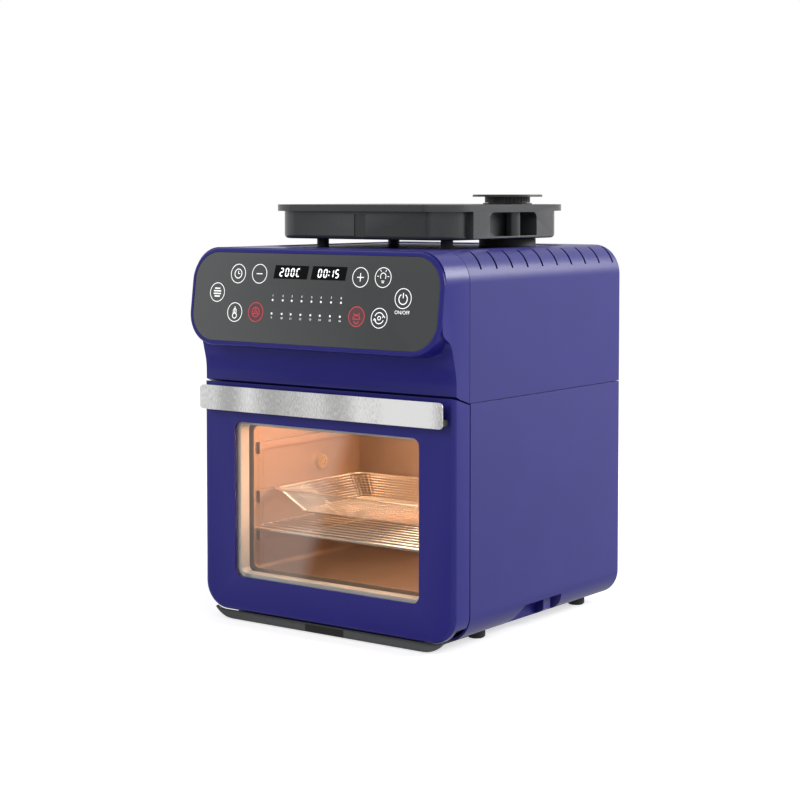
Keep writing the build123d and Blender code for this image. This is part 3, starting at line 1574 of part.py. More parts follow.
with BuildPart() as tank_hollow:
    with BuildSketch(level(tank_low + tank_wall)):
        inner = tank_wall
        add(flat_outline(tank_reach - inner, tank_front + inner, tank_back - inner, tank_corner - inner))
    extrude(amount=tank_high - tank_low)
    fillet(tank_hollow.edges().group_by(Axis.Z)[0], tank_bottom_edge - 1)
    for side in (-1, 1):
        with BuildSketch(across(side * (grip_face - grip_box))):
            front = tank_grip_front - tank_wall
            back = tank_grip_back + tank_wall
            with Locations(((front + back) / 2, (tank_low + tank_grip_high + tank_wall) / 2)):
                Rectangle(back - front, tank_grip_high + tank_wall - tank_low)
        extrude(amount=side * grip_box, mode=Mode.SUBTRACT)
with BuildPart() as water_tank:
    with BuildSketch(level(tank_low)):
        add(flat_outline(tank_reach, tank_front, tank_back, tank_corner))
    extrude(amount=tank_rim_low - tank_low)
    fillet(water_tank.edges().group_by(Axis.Z)[0], tank_bottom_edge)
    with BuildSketch(level(tank_rim_low)):
        rim = tank_rim
        add(flat_outline(tank_reach + rim, tank_front - rim, tank_back + rim, tank_corner + rim))
    extrude(amount=tank_high - tank_rim_low)
    with BuildSketch(level(tank_low + 1.5)):
        with Locations((0, (tank_block_front + tank_block_back) / 2)):
            Rectangle(2 * grip_face, tank_block_back - tank_block_front)
            Rectangle(2 * tank_reach - 20, tank_block_back - tank_block_front, mode=Mode.SUBTRACT)
    extrude(amount=tank_rim_low - tank_low)
    add(tank_hollow.part, mode=Mode.SUBTRACT)
    for side in (-1, 1):
        with BuildSketch(across(side * grip_face)):
            add(grip_pocket(0, 0, 0))
        extrude(amount=-side * tank_grip_depth, mode=Mode.SUBTRACT)
        with BuildSketch(level(tank_grip_low)):
            with Locations((side * column_across, column_depth)):
                Circle(column_radius)
        extrude(amount=tank_grip_high - tank_grip_low)
    with BuildSketch(behind(tank_front)):
        with Locations((groove_middle, (tank_low + tank_rim_low) / 2)):
            Rectangle(2 * groove_reach, tank_rim_low - tank_low - 6)
    extrude(amount=-1, mode=Mode.SUBTRACT)
    with BuildSketch(level(lid_floor)):
        rim = tank_rim - lid_rebate
        add(flat_outline(tank_reach + rim, tank_front - rim, tank_back + rim, tank_corner + rim))
    extrude(amount=tank_high - lid_floor, mode=Mode.SUBTRACT)
    with BuildSketch(level(tank_low)):
        with Locations((cap_across, cap_depth)):
            Circle(valve_radius)
    extrude(amount=tank_wall, mode=Mode.SUBTRACT)
water_tank.part.label = "water_tank"
export_step(water_tank.part, "parts/water_tank.step")

# Tank lid: flat sheet in the rim's seat, with a collar round the filler hole.
lid_play = 0.4
lid_low = lid_floor + carry_gap
lid_high = lid_low + lid_sheet
collar_radius = 25.4
filler_radius = 22.0
with BuildPart() as tank_lid:
    with BuildSketch(level(lid_low)):
        rim = tank_rim - lid_rebate - lid_play
        add(flat_outline(tank_reach + rim, tank_front - rim, tank_back + rim, tank_corner + rim))
    extrude(amount=lid_sheet)
    with BuildSketch(level(lid_high)):
        with Locations((cap_across, cap_depth)):
            Circle(collar_radius)
    extrude(amount=cap_collar)
    with BuildSketch(level(lid_low)):
        with Locations((cap_across, cap_depth)):
            Circle(filler_radius)
    extrude(amount=lid_sheet + cap_collar, mode=Mode.SUBTRACT)
tank_lid.part.label = "tank_lid"
export_step(tank_lid.part, "parts/tank_lid.step")

# Filler cap: round plate over a ribbed neck, with a hollow plug through the lid.
neck_low = lid_high + cap_collar + carry_gap
plate_low = cap_high - cap_sheet
plug_low = 402.0
rib_count = 36
with BuildPart() as filler_cap:
    with BuildSketch(level(neck_low)):
        with Locations((cap_across, cap_depth)):
            Circle(cap_neck_radius)
            with PolarLocations(cap_neck_radius, rib_count):
                Circle(0.7, mode=Mode.SUBTRACT)
    extrude(amount=plate_low - neck_low)
    with BuildSketch(level(plate_low)):
        with Locations((cap_across, cap_depth)):
            Circle(cap_radius)
    extrude(amount=cap_sheet)
    fillet(filler_cap.edges().group_by(Axis.Z)[-1], 1)
    with BuildSketch(level(plug_low)):
        with Locations((cap_across, cap_depth)):
            Circle(cap_plug_radius)
    extrude(amount=neck_low - plug_low)
    with BuildSketch(level(plug_low)):
        with Locations((cap_across, cap_depth)):
            Circle(cap_plug_radius - 2)
    extrude(amount=neck_low - plug_low, mode=Mode.SUBTRACT)
filler_cap.part.label = "filler_cap"
export_step(filler_cap.part, "parts/filler_cap.step")

# Cap seal: rubber ring round the plug, inside the filler hole.
seal_low = 405.0
with BuildPart() as cap_seal:
    with BuildSketch(level(seal_low)):
        with Locations((cap_across, cap_depth)):
            Circle(filler_radius - 0.3)
            Circle(cap_plug_radius, mode=Mode.SUBTRACT)
    extrude(amount=4)
cap_seal.part.label = "cap_seal"
export_step(cap_seal.part, "parts/cap_seal.step")

# Tank valve: spring valve body through the floor of the tank, into the dock.
valve_low = 362.0
valve_flange = 12.0
tank_floor = tank_low + tank_wall
with BuildPart() as tank_valve:
    with BuildSketch(level(valve_low)):
        with Locations((cap_across, cap_depth)):
            Circle(valve_radius)
    extrude(amount=tank_floor - valve_low)
    chamfer(tank_valve.edges().group_by(Axis.Z)[0], 1.2)
    with BuildSketch(level(tank_floor)):
        with Locations((cap_across, cap_depth)):
            Circle(valve_flange)
    extrude(amount=2)
    with BuildSketch(level(valve_low)):
        with Locations((cap_across, cap_depth)):
            Circle(pipe_radius)
    extrude(amount=tank_floor + 2 - valve_low, mode=Mode.SUBTRACT)
tank_valve.part.label = "tank_valve"
export_step(tank_valve.part, "parts/tank_valve.step")
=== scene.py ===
# %% [markdown]
# # Steam air fryer oven
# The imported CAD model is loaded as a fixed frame. Everything below dresses that frame:
# a camera and light for the picture, finishes for every part, and the fine pieces that
# a solid modeller leaves out, such as printed marks, a woven basket and screws.

# %% Load the frame
import json
import math

import bmesh
import bpy
from mathutils import Matrix, Vector


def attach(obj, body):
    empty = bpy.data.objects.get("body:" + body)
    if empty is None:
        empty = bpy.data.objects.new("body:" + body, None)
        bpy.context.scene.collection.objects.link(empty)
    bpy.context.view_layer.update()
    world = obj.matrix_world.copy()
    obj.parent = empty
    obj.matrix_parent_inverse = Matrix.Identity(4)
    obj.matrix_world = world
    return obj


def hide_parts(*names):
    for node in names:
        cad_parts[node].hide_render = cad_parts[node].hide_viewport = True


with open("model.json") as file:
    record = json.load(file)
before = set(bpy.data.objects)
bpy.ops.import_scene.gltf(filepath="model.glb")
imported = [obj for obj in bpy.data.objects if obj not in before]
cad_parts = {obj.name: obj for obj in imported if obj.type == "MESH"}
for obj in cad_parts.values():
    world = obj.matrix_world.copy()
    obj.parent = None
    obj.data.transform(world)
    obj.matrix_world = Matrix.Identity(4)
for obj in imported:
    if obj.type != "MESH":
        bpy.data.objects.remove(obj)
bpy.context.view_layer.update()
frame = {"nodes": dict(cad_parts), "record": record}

# %% [markdown]
# Places on the oven are easiest to say by three measures: across from the middle, behind
# the door's face, and above the underside of the body. This is how the real drawing of
# such an appliance is dimensioned, so one small helper turns them into metres.

# %% Places by three measures
DOOR_FACE = -0.14037
FOOT_HEIGHT = 0.0085
MM = 0.001


def spot(across, behind, above):
    """Point in metres from millimetres across, behind the door's face and above the underside."""
    return Vector((across * MM, DOOR_FACE + behind * MM, FOOT_HEIGHT + above * MM))


print("door face middle", spot(0, 0, 116))

# %% [markdown]
# The camera stands in front and to the right, a little above the top of the oven. It leans
# down by only three degrees, and the lens shift does the rest, so that upright edges stay
# almost parallel as in a product photograph.

# %% Camera
CAMERA_PLACE = (1.14467, -1.56561, 0.42898)
CAMERA_PITCH = 87.0
CAMERA_TURN = 36.435
LENS_LENGTH = 85.07
LENS_SHIFT = -0.1311

camera_data = bpy.data.cameras.new("studio_camera")
camera_data.sensor_width = 36.0
camera_data.lens = LENS_LENGTH
camera_data.shift_y = LENS_SHIFT
camera_data.clip_end = 50.0
camera = bpy.data.objects.new("studio_camera", camera_data)
bpy.context.collection.objects.link(camera)
camera.location = CAMERA_PLACE
camera.rotation_euler = (math.radians(CAMERA_PITCH), 0.0, math.radians(CAMERA_TURN))
bpy.context.scene.camera = camera
print("camera", tuple(camera.location))

# %% [markdown]
# Materials, the floor and the world are all small trees of nodes. A few helpers clear a
# tree, add a node, and set the two nodes that need most numbers: a colour ramp, and a
# range that stretches one span of values to another.

# %% Helpers for nodes


def blank_tree(owner):
    """Cleared node tree of a material or world, with its link function."""
    owner.use_nodes = True
    owner.node_tree.nodes.clear()
    return owner.node_tree, owner.node_tree.links.new

def new_node(tree, kind, place=(0, 0), **settings):
    """Adds a shader node and sets its plain properties."""
    node = tree.nodes.new(kind)
    node.location = place
    for name, value in settings.items():
        setattr(node, name, value)
    return node


def ramp_node(tree, stops, interpolation="LINEAR"):
    """Colour ramp with stops of (position, grey or colour)."""
    ramp = new_node(tree, "ShaderNodeValToRGB")
    ramp.color_ramp.interpolation = interpolation
    elements = ramp.color_ramp.elements
    while len(elements) < len(stops):
        elements.new(0.5)
    for element, (position, tone) in zip(elements, stops):
        element.position = position
        rgb = tone if isinstance(tone, tuple) else (tone, tone, tone)
        element.color = (*rgb, 1.0)
    return ramp


def span_node(tree, low, high, ends="From"):
    """Range from or to a low and a high value."""
    span = new_node(tree, "ShaderNodeMapRange")
    span.inputs[ends + " Min"].default_value = low
    span.inputs[ends + " Max"].default_value = high
    return span


print("node helpers ready")

# %% [markdown]
# Product pictures of glossy appliances are lit by big soft boxes. Here the world gives the
# even light. Gloss sees a room of bright and dark bands instead: the narrow step between
# two of them falls as a slanting veil over the left of the door glass. The bands differ
# above the horizon, and a pale back wall lightens what the far sides mirror.

# %% Room that shows in gloss
VEIL_NORMAL = (0.7753, -0.5590, -0.2941)
VEIL_BANDS = [(0.0, 0.9), (0.4997, 0.8), (0.5003, 0.02), (0.6, 0.06), (1.0, 0.7)]
UPPER_BANDS = [(0.0, 1.0), (0.34, 1.0), (0.45, 0.02), (0.6, 0.1), (1.0, 0.7)]
BACK_BANDS = [(0.0, 0.0), (0.42, 0.0), (0.62, 0.5), (1.0, 0.5)]
HORIZON = (0.03, 0.09)

world = bpy.data.worlds.new("studio")
bpy.context.scene.world = world
tree, link = blank_tree(world)
way = new_node(tree, "ShaderNodeTexCoord")
side = new_node(tree, "ShaderNodeVectorMath", operation="DOT_PRODUCT")
side.inputs[1].default_value = VEIL_NORMAL
link(way.outputs["Generated"], side.inputs[0])
spread = span_node(tree, -0.5, 0.5)
link(side.outputs["Value"], spread.inputs["Value"])
veil = ramp_node(tree, VEIL_BANDS)
link(spread.outputs[0], veil.inputs[0])
upper = ramp_node(tree, UPPER_BANDS)
link(spread.outputs[0], upper.inputs[0])
split = new_node(tree, "ShaderNodeSeparateXYZ")
link(way.outputs["Generated"], split.inputs[0])
above = span_node(tree, *HORIZON)
link(split.outputs["Z"], above.inputs["Value"])
room = new_node(tree, "ShaderNodeMix", data_type="RGBA")
link(above.outputs[0], room.inputs["Factor"])
link(veil.outputs[0], room.inputs["A"])
link(upper.outputs[0], room.inputs["B"])
depth = span_node(tree, -1.0, 1.0)
link(split.outputs["Y"], depth.inputs["Value"])
back = ramp_node(tree, BACK_BANDS)
link(depth.outputs[0], back.inputs[0])
shine = new_node(tree, "ShaderNodeMix", data_type="RGBA", blend_type="LIGHTEN")
shine.inputs["Factor"].default_value = 1.0
link(room.outputs["Result"], shine.inputs["A"])
link(back.outputs[0], shine.inputs["B"])
print("room in gloss made of", len(tree.nodes), "nodes")

# %% World for each kind of ray
ROOM_LIGHT = 0.62
WHITE = (1.0, 1.0, 1.0, 1.0)
plain = new_node(tree, "ShaderNodeBackground")
plain.inputs["Color"].default_value = WHITE
plain.inputs["Strength"].default_value = ROOM_LIGHT
gloss = new_node(tree, "ShaderNodeBackground")
gloss.inputs["Strength"].default_value = 1.0
link(shine.outputs["Result"], gloss.inputs["Color"])
white = new_node(tree, "ShaderNodeBackground")
white.inputs["Color"].default_value = WHITE
white.inputs["Strength"].default_value = 1.0
rays = new_node(tree, "ShaderNodeLightPath")
gloss_mix = new_node(tree, "ShaderNodeMixShader")
link(rays.outputs["Is Glossy Ray"], gloss_mix.inputs[0])
link(plain.outputs[0], gloss_mix.inputs[1])
link(gloss.outputs[0], gloss_mix.inputs[2])
seen = new_node(tree, "ShaderNodeMath", operation="MAXIMUM")
link(rays.outputs["Is Camera Ray"], seen.inputs[0])
link(rays.outputs["Is Transmission Ray"], seen.inputs[1])
world_mix = new_node(tree, "ShaderNodeMixShader")
link(seen.outputs[0], world_mix.inputs[0])
link(gloss_mix.outputs[0], world_mix.inputs[1])
link(white.outputs[0], world_mix.inputs[2])
world_out = new_node(tree, "ShaderNodeOutputWorld")
link(world_mix.outputs[0], world_out.inputs["Surface"])
bpy.context.scene.view_settings.view_transform = "Standard"
print("world ready")

# %% [markdown]
# Three area lamps shape the body: a broad one behind on the right, which the long side and
# the deck mirror, a soft one in front, and a weak one above. Only the first shows in gloss.
# A small warm lamp stands where the oven has its own, behind the round glass in the right
# wall of the cavity, and a weak warm disc under the roof stands for light from the walls.

# %% Lamps
LAMP_TINT = (1.0, 0.42, 0.14)
FILL_TINT = (1.0, 0.76, 0.56)


def hang(name, kind, place, power, tint=(1.0, 1.0, 1.0)):
    """Lamp of a kind at a place."""
    data = bpy.data.lights.new(name, kind)
    data.energy = power
    data.color = tint
    lamp = bpy.data.objects.new(name, data)
    bpy.context.collection.objects.link(lamp)
    lamp.location = place
    return lamp


def soft_box(name, place, aim, size, power):
    """Rectangular area lamp at a place, turned to a point."""
    lamp = hang(name, "AREA", place, power)
    lamp.data.shape = "RECTANGLE"
    lamp.data.size, lamp.data.size_y = size
    lamp.rotation_euler = (Vector(aim) - Vector(place)).to_track_quat("-Z", "Y").to_euler()
    return lamp


soft_box("right_box", (1.7, 1.5, 1.25), (0.1, 0.0, 0.3), (1.5, 0.9), 60.0)
front_box = soft_box("front_box", (-0.5, -2.6, 1.3), (0.0, 0.0, 0.2), (1.8, 1.2), 26.0)
top_box = soft_box("top_box", (0.2, 0.2, 2.6), (0.0, 0.0, 0.4), (1.8, 1.8), 5.0)
for lamp in (front_box, top_box):
    lamp.visible_glossy = False
oven_lamp = hang("oven_lamp", "POINT", spot(112, 150, 189), 2.1, LAMP_TINT)
oven_lamp.data.shadow_soft_size = 0.012
oven_fill = hang("oven_fill", "AREA", spot(0, 125, 213), 0.8, FILL_TINT)
oven_fill.data.shape = "DISK"
oven_fill.data.size = 0.15
print(len(bpy.data.lights), "lamps hung")

# %% [markdown]
# The floor is a wide pale sheet. To the camera it is as white as the background and keeps
# only the oven's soft shadow; to everything else it is ordinary pale paper.

# %% Floor
FLOOR_REACH = 12.0
PAPER_GREY = 0.62
PAPER_GLOW = 0.62
floor_mesh = bmesh.new()
bmesh.ops.create_grid(floor_mesh, x_segments=2, y_segments=2, size=FLOOR_REACH)
floor_data = bpy.data.meshes.new("studio_floor")
floor_mesh.to_mesh(floor_data)
floor_mesh.free()
floor = bpy.data.objects.new("studio_floor", floor_data)
bpy.context.collection.objects.link(floor)
floor_material = bpy.data.materials.new("studio_paper")
tree, link = blank_tree(floor_material)
paper = new_node(tree, "ShaderNodeBsdfDiffuse")
paper.inputs["Color"].default_value = (PAPER_GREY, PAPER_GREY, PAPER_GREY, 1.0)
glow = new_node(tree, "ShaderNodeEmission")
glow.inputs["Color"].default_value = WHITE
glow.inputs["Strength"].default_value = PAPER_GLOW
both = new_node(tree, "ShaderNodeAddShader")
link(paper.outputs[0], both.inputs[0])
link(glow.outputs[0], both.inputs[1])
rays = new_node(tree, "ShaderNodeLightPath")
pick = new_node(tree, "ShaderNodeMixShader")
link(rays.outputs["Is Camera Ray"], pick.inputs[0])
link(paper.outputs[0], pick.inputs[1])
link(both.outputs[0], pick.inputs[2])
out = new_node(tree, "ShaderNodeOutputMaterial")
link(pick.outputs[0], out.inputs["Surface"])
floor_data.materials.append(floor_material)
floor.visible_glossy = False
print("floor ready")

# %% [markdown]
# Finishes. A real finish is never one number: moulded plastic has a fine grain, paint has a
# faint orange peel, and steel has brush lines. Each finish below mixes such detail from noise,
# on the object's own coordinates in metres, and paints sharp edges a little paler as a highlight.

# %% Helpers for finishes
RELIEF_DEPTH = 0.0004
LEAST_ROUGH = 0.02

def tone(red, green, blue):
    """Linear colour from the 0 to 255 numbers of a picture."""
    return tuple(((level / 255 + 0.055) / 1.055) ** 2.4 if level > 10 else level / 255 / 12.92
                 for level in (red, green, blue))


def finish(name, colour, rough, spread=0.06, metal=0.0, grain=900.0, bump=0.05, patch=14.0,
           stretch=(1.0, 1.0, 1.0), edge_highlight=0.25, shade=0.06, specular=0.5, coat=0.0, edge_light=0.35):
    """Finish with cloudy colour, grain in roughness and bump, and edges painted paler as a highlight.
    """
    material = bpy.data.materials.new(name)
    tree, link = blank_tree(material)
    out = new_node(tree, "ShaderNodeOutputMaterial", (900, 0))
    skin = new_node(tree, "ShaderNodeBsdfPrincipled", (600, 0))
    link(skin.outputs[0], out.inputs["Surface"])
    skin.inputs["Metallic"].default_value = metal
    skin.inputs["Specular IOR Level"].default_value = specular
    skin.inputs["Coat Weight"].default_value = coat
    skin.inputs["Coat Roughness"].default_value = 0.08
    where = new_node(tree, "ShaderNodeTexCoord", (-900, 0))
    scale = new_node(tree, "ShaderNodeMapping", (-700, 0))
    scale.inputs["Scale"].default_value = stretch
    link(where.outputs["Object"], scale.inputs["Vector"])
    cloud = new_node(tree, "ShaderNodeTexNoise", (-500, 200))
    cloud.inputs["Scale"].default_value = patch
    cloud.inputs["Detail"].default_value = 3.0
    link(where.outputs["Object"], cloud.inputs["Vector"])
    fine = new_node(tree, "ShaderNodeTexNoise", (-500, -200))
    fine.inputs["Scale"].default_value = grain
    fine.inputs["Detail"].default_value = 4.0
    link(scale.outputs["Vector"], fine.inputs["Vector"])
    pale = tuple(min(1.0, c * (1 + shade) + shade * 0.01) for c in colour)
    dark = tuple(c * (1 - shade) for c in colour)
    shades = ramp_node(tree, [(0.35, dark), (0.65, pale)])
    link(cloud.outputs["Fac"], shades.inputs[0])
    # Sharp edges are painted paler below: a painted highlight on the edges, not wear.
    edges = new_node(tree, "ShaderNodeNewGeometry", (-500, 450))
    edge_highlight_mask = ramp_node(tree, [(0.5, 0.0), (0.62, edge_highlight)])
    link(edges.outputs["Pointiness"], edge_highlight_mask.inputs[0])
    highlit_edges = new_node(tree, "ShaderNodeMix", (300, 200), data_type="RGBA")
    link(edge_highlight_mask.outputs[0], highlit_edges.inputs["Factor"])
    link(shades.outputs[0], highlit_edges.inputs["A"])
    edge_highlight_colour = [min(1.0, c + edge_light * (1 - c) * 0.4) for c in colour]
    highlit_edges.inputs["B"].default_value = (*edge_highlight_colour, 1.0)
    link(highlit_edges.outputs["Result"], skin.inputs["Base Color"])
    rough_range = span_node(tree, max(LEAST_ROUGH, rough - spread), rough + spread, "To")
    link(fine.outputs["Fac"], rough_range.inputs["Value"])
    link(rough_range.outputs[0], skin.inputs["Roughness"])
    relief = new_node(tree, "ShaderNodeBump", (300, -300))
    relief.inputs["Strength"].default_value = bump
    relief.inputs["Distance"].default_value = RELIEF_DEPTH
    link(fine.outputs["Fac"], relief.inputs["Height"])
    link(relief.outputs[0], skin.inputs["Normal"])
    return material


PANE_MIRROR = [(0.0, 0.04), (0.3, 0.05), (0.5, 0.09), (0.7, 0.22), (0.85, 0.5), (1.0, 1.0)]


def pane(name, tint, gloss=0.9):
    """Clear pane: what is behind shows straight through, and the surface mirrors the room."""
    material = bpy.data.materials.new(name)
    tree, link = blank_tree(material)
    through = new_node(tree, "ShaderNodeBsdfTransparent")
    through.inputs["Color"].default_value = (*tint, 1.0)
    mirror = new_node(tree, "ShaderNodeBsdfGlossy")
    mirror.inputs["Color"].default_value = (gloss, gloss, gloss, 1.0)
    smear = new_node(tree, "ShaderNodeTexNoise")
    smear.inputs["Scale"].default_value = 30.0
    where = new_node(tree, "ShaderNodeTexCoord")
    link(where.outputs["Object"], smear.inputs["Vector"])
    rough = span_node(tree, 0.0, 0.002, "To")
    link(smear.outputs["Fac"], rough.inputs["Value"])
    link(rough.outputs[0], mirror.inputs["Roughness"])
    edge = new_node(tree, "ShaderNodeLayerWeight")
    edge.inputs["Blend"].default_value = 0.5
    share = ramp_node(tree, PANE_MIRROR)
    link(edge.outputs["Facing"], share.inputs[0])
    blend = new_node(tree, "ShaderNodeMixShader")
    link(share.outputs[0], blend.inputs[0])
    link(through.outputs[0], blend.inputs[1])
    link(mirror.outputs[0], blend.inputs[2])
    out = new_node(tree, "ShaderNodeOutputMaterial")
    link(blend.outputs[0], out.inputs["Surface"])
    return material


def lit(name, colour, strength, grain=3000.0):
    """Printed mark given a painted glow, or a lit display's segment, with a little grain in its
    strength.
    """
    material = bpy.data.materials.new(name)
    tree, link = blank_tree(material)
    skin = new_node(tree, "ShaderNodeBsdfPrincipled")
    skin.inputs["Roughness"].default_value = 0.45
    where = new_node(tree, "ShaderNodeTexCoord")
    ink = new_node(tree, "ShaderNodeTexNoise")
    ink.inputs["Scale"].default_value = grain
    link(where.outputs["Object"], ink.inputs["Vector"])
    shades = ramp_node(tree, [(0.3, tuple(c * 0.92 for c in colour)), (0.7, colour)])
    link(ink.outputs["Fac"], shades.inputs[0])
    link(shades.outputs[0], skin.inputs["Base Color"])
    link(shades.outputs[0], skin.inputs["Emission Color"])
    skin.inputs["Emission Strength"].default_value = strength
    out = new_node(tree, "ShaderNodeOutputMaterial")
    link(skin.outputs[0], out.inputs["Surface"])
    return material


def brushed(name, low, high):
    """Brushed steel strip: fine strokes across it, and slow bands of light along it."""
    material = finish(name, high, 0.36, spread=0.1, metal=0.45, grain=420, stretch=(3.0, 1.0, 0.12),
                      bump=0.3, shade=0.02, edge_highlight=0.1)
    tree = material.node_tree
    link = tree.links.new
    skin = next(node for node in tree.nodes if node.type == "BSDF_PRINCIPLED")
    where = next(node for node in tree.nodes if node.type == "TEX_COORD")
    along = new_node(tree, "ShaderNodeMapping", (-700, 600))
    along.inputs["Scale"].default_value = (9.0, 0.2, 0.2)
    link(where.outputs["Object"], along.inputs["Vector"])
    bands = new_node(tree, "ShaderNodeTexNoise", (-500, 600))
    bands.inputs["Scale"].default_value = 1.6
    bands.inputs["Detail"].default_value = 1.0
    link(along.outputs["Vector"], bands.inputs["Vector"])
    strokes = new_node(tree, "ShaderNodeMapping", (-700, 800))
    strokes.inputs["Scale"].default_value = (1400.0, 1.0, 260.0)
    link(where.outputs["Object"], strokes.inputs["Vector"])
    hair = new_node(tree, "ShaderNodeTexNoise", (-500, 800))
    hair.inputs["Scale"].default_value = 1.0
    hair.inputs["Detail"].default_value = 3.0
    link(strokes.outputs["Vector"], hair.inputs["Vector"])
    both = new_node(tree, "ShaderNodeMix", (-300, 700), data_type="FLOAT")
    both.inputs["Factor"].default_value = 0.24
    link(bands.outputs["Fac"], both.inputs["A"])
    link(hair.outputs["Fac"], both.inputs["B"])
    shades = ramp_node(tree, [(0.42, low), (0.55, high)])
    link(both.outputs["Result"], shades.inputs[0])
    link(shades.outputs[0], skin.inputs["Base Color"])
    return material

print("finish helpers ready")

# %% [markdown]
# The finishes themselves, from the colours of the photograph: a deep blue paint on the
# body, the same blue as smooth plastic on the head and door, a smoked grey panel, brushed
# steel, smoked tank plastic, and the metals and moulded plastics of the inside.

# %% The finishes
finishes = {
    "housing_blue": finish("housing_paint", tone(30, 26, 112), 0.4, grain=1400, bump=0.03,
                           shade=0.03, specular=0.3),
    "front_blue": finish("front_paint", tone(28, 25, 115), 0.32, grain=1400, bump=0.02,
                         shade=0.03, specular=0.3),
    "base_black": finish("base_moulding", tone(38, 38, 40), 0.55, grain=2200, bump=0.2),
    "rubber_black": finish("foot_rubber", tone(28, 28, 28), 0.75, grain=1500, bump=0.25),
    "panel_grey": finish("panel_gloss", tone(60, 62, 63), 0.22, spread=0.02, grain=300, bump=0.0,
                         shade=0.02, coat=0.5),
    "display_black": finish("display_window", tone(8, 8, 9), 0.45, spread=0.02, bump=0.0,
                            specular=0.1, edge_highlight=0.0),
    "circuit_green": finish("circuit_board", tone(28, 92, 52), 0.45, shade=0.15, patch=300),
    "brushed_steel": brushed("brushed_strip", tone(186, 186, 186), tone(255, 255, 255)),
    # Cavity steel: its grey is painted darker and browner, painted shade and warm light of the
    # cavity's inside.
    "cavity_steel": finish("cavity_sheet_painted_shade", tone(150, 128, 110), 0.42, spread=0.08, metal=0.7,
                           grain=200, stretch=(0.1, 4.0, 4.0), bump=0.04, shade=0.08),
    "magnet_grey": finish("magnet_block", tone(70, 70, 74), 0.4, metal=0.6),
    "spacer_grey": finish("spacer_moulding", tone(186, 184, 179), 0.4, bump=0.04),
    "clear_glass": pane("door_pane", (0.985, 0.985, 0.98)),
    "element_dark": finish("element_tube", tone(74, 68, 62), 0.45, metal=0.6, shade=0.2, patch=60),
    "fan_aluminium": finish("fan_sheet", tone(190, 190, 190), 0.35, metal=0.9, grain=400),
    "motor_dark": finish("motor_body", tone(60, 60, 64), 0.45, metal=0.5, stretch=(1, 1, 60),
                         grain=60, bump=0.2),
    "chrome_wire": finish("polished_wire", tone(232, 226, 216), 0.2, spread=0.05, metal=0.9,
                          grain=500, bump=0.02),
    "generator_aluminium": finish("cast_block", tone(150, 150, 150), 0.5, metal=0.8, grain=500,
                                  bump=0.3),
    "hose_white": finish("hose", tone(214, 210, 200), 0.4, bump=0.03),
    "nozzle_brass": finish("nozzle", tone(190, 160, 110), 0.35, metal=0.8),
    "tray_grey": finish("tray_moulding", tone(58, 61, 62), 0.45, grain=2200, bump=0.12,
                        specular=0.3),
    "tank_smoke": finish("tank_smoke", tone(50, 51, 53), 0.26, spread=0.04, grain=1200, bump=0.02,
                         shade=0.05, specular=0.6),
    "lid_grey": finish("lid_gloss", tone(52, 53, 55), 0.42, specular=0.3, spread=0.04,
                       grain=1200, bump=0.02),
    "cap_grey": finish("cap_moulding", tone(40, 41, 42), 0.4, grain=2000, bump=0.08),
}
slot_of = {row["node"]: row["material_slot"] for row in frame["record"]["subparts"]}
bodies = frame["record"]["behaviour"]["bodies"]
body_of = {node: body for body, nodes in bodies.items() for node in nodes}
for node, obj in frame["nodes"].items():
    obj.data.materials.clear()
    obj.data.materials.append(finishes[slot_of[node]])
print(len(finishes), "finishes on", len(frame["nodes"]), "nodes")

# %% [markdown]
# The CAD hands over flat triangles. On shells that curve in plain sight a copy takes their
# place: its triangles are merged, flat areas joined, gentle bends shaded smooth, and sharp
# edges broken by a tiny bevel that catches the light as a moulded or pressed edge does. The
# condensate tray comes as three solids that meet face to face, so its copy loses the faces
# between them.

# %% Dressed copies of the shells
STRIP_END = 0.128
JOIN_DISTANCE = 2e-6
FLAT_ANGLE = 0.6


def new_piece(name, mesh_data, body, slot, material=None):
    """Links a finished mesh as a piece that rides on a body and takes a slot's finish."""
    piece = bpy.data.objects.new(name, mesh_data)
    bpy.context.collection.objects.link(piece)
    mesh_data.materials.clear()
    mesh_data.materials.append(material or finishes[slot])
    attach(piece, body)
    return piece
def piece_from(net, name, body, slot, material=None):
    """Keeps a finished bmesh as a piece."""
    mesh_data = bpy.data.meshes.new(name)
    net.to_mesh(mesh_data)
    net.free()
    return new_piece(name, mesh_data, body, slot, material)


def dressed(node, bevel, angle=34.0):
    """Smooth, bevelled copy of a CAD node that takes its place."""
    mesh_data = frame["nodes"][node].data.copy()
    mesh_data.name = node + "_skin"
    shell = bmesh.new()
    shell.from_mesh(mesh_data)
    bmesh.ops.remove_doubles(shell, verts=shell.verts, dist=JOIN_DISTANCE)
    if node == "condensate_tray":
        meeting = [f for f in shell.faces if all(abs(abs(v.co.x) - STRIP_END) < 2e-5 for v in f.verts)]
        bmesh.ops.delete(shell, geom=meeting, context="FACES_ONLY")
    bmesh.ops.dissolve_limit(shell, angle_limit=math.radians(FLAT_ANGLE), verts=shell.verts,
                             edges=shell.edges)
    for face in shell.faces:
        face.smooth = True
    for edge in shell.edges:
        edge.smooth = not (edge.is_manifold and edge.calc_face_angle(0.0) > math.radians(angle))
    shell.to_mesh(mesh_data)
    shell.free()
    piece = new_piece(node + "_skin", mesh_data, body_of[node], slot_of[node])
    if bevel:
        edge_break = piece.modifiers.new("edge_break", "BEVEL")
        edge_break.width = bevel * MM
        edge_break.segments = 2
        edge_break.limit_method = "ANGLE"
        edge_break.angle_limit = math.radians(angle)
        edge_break.harden_normals = True
        edge_break.use_clamp_overlap = True
    even = piece.modifiers.new("even_light", "WEIGHTED_NORMAL")
    even.keep_sharp = True
    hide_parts(node)
    return piece


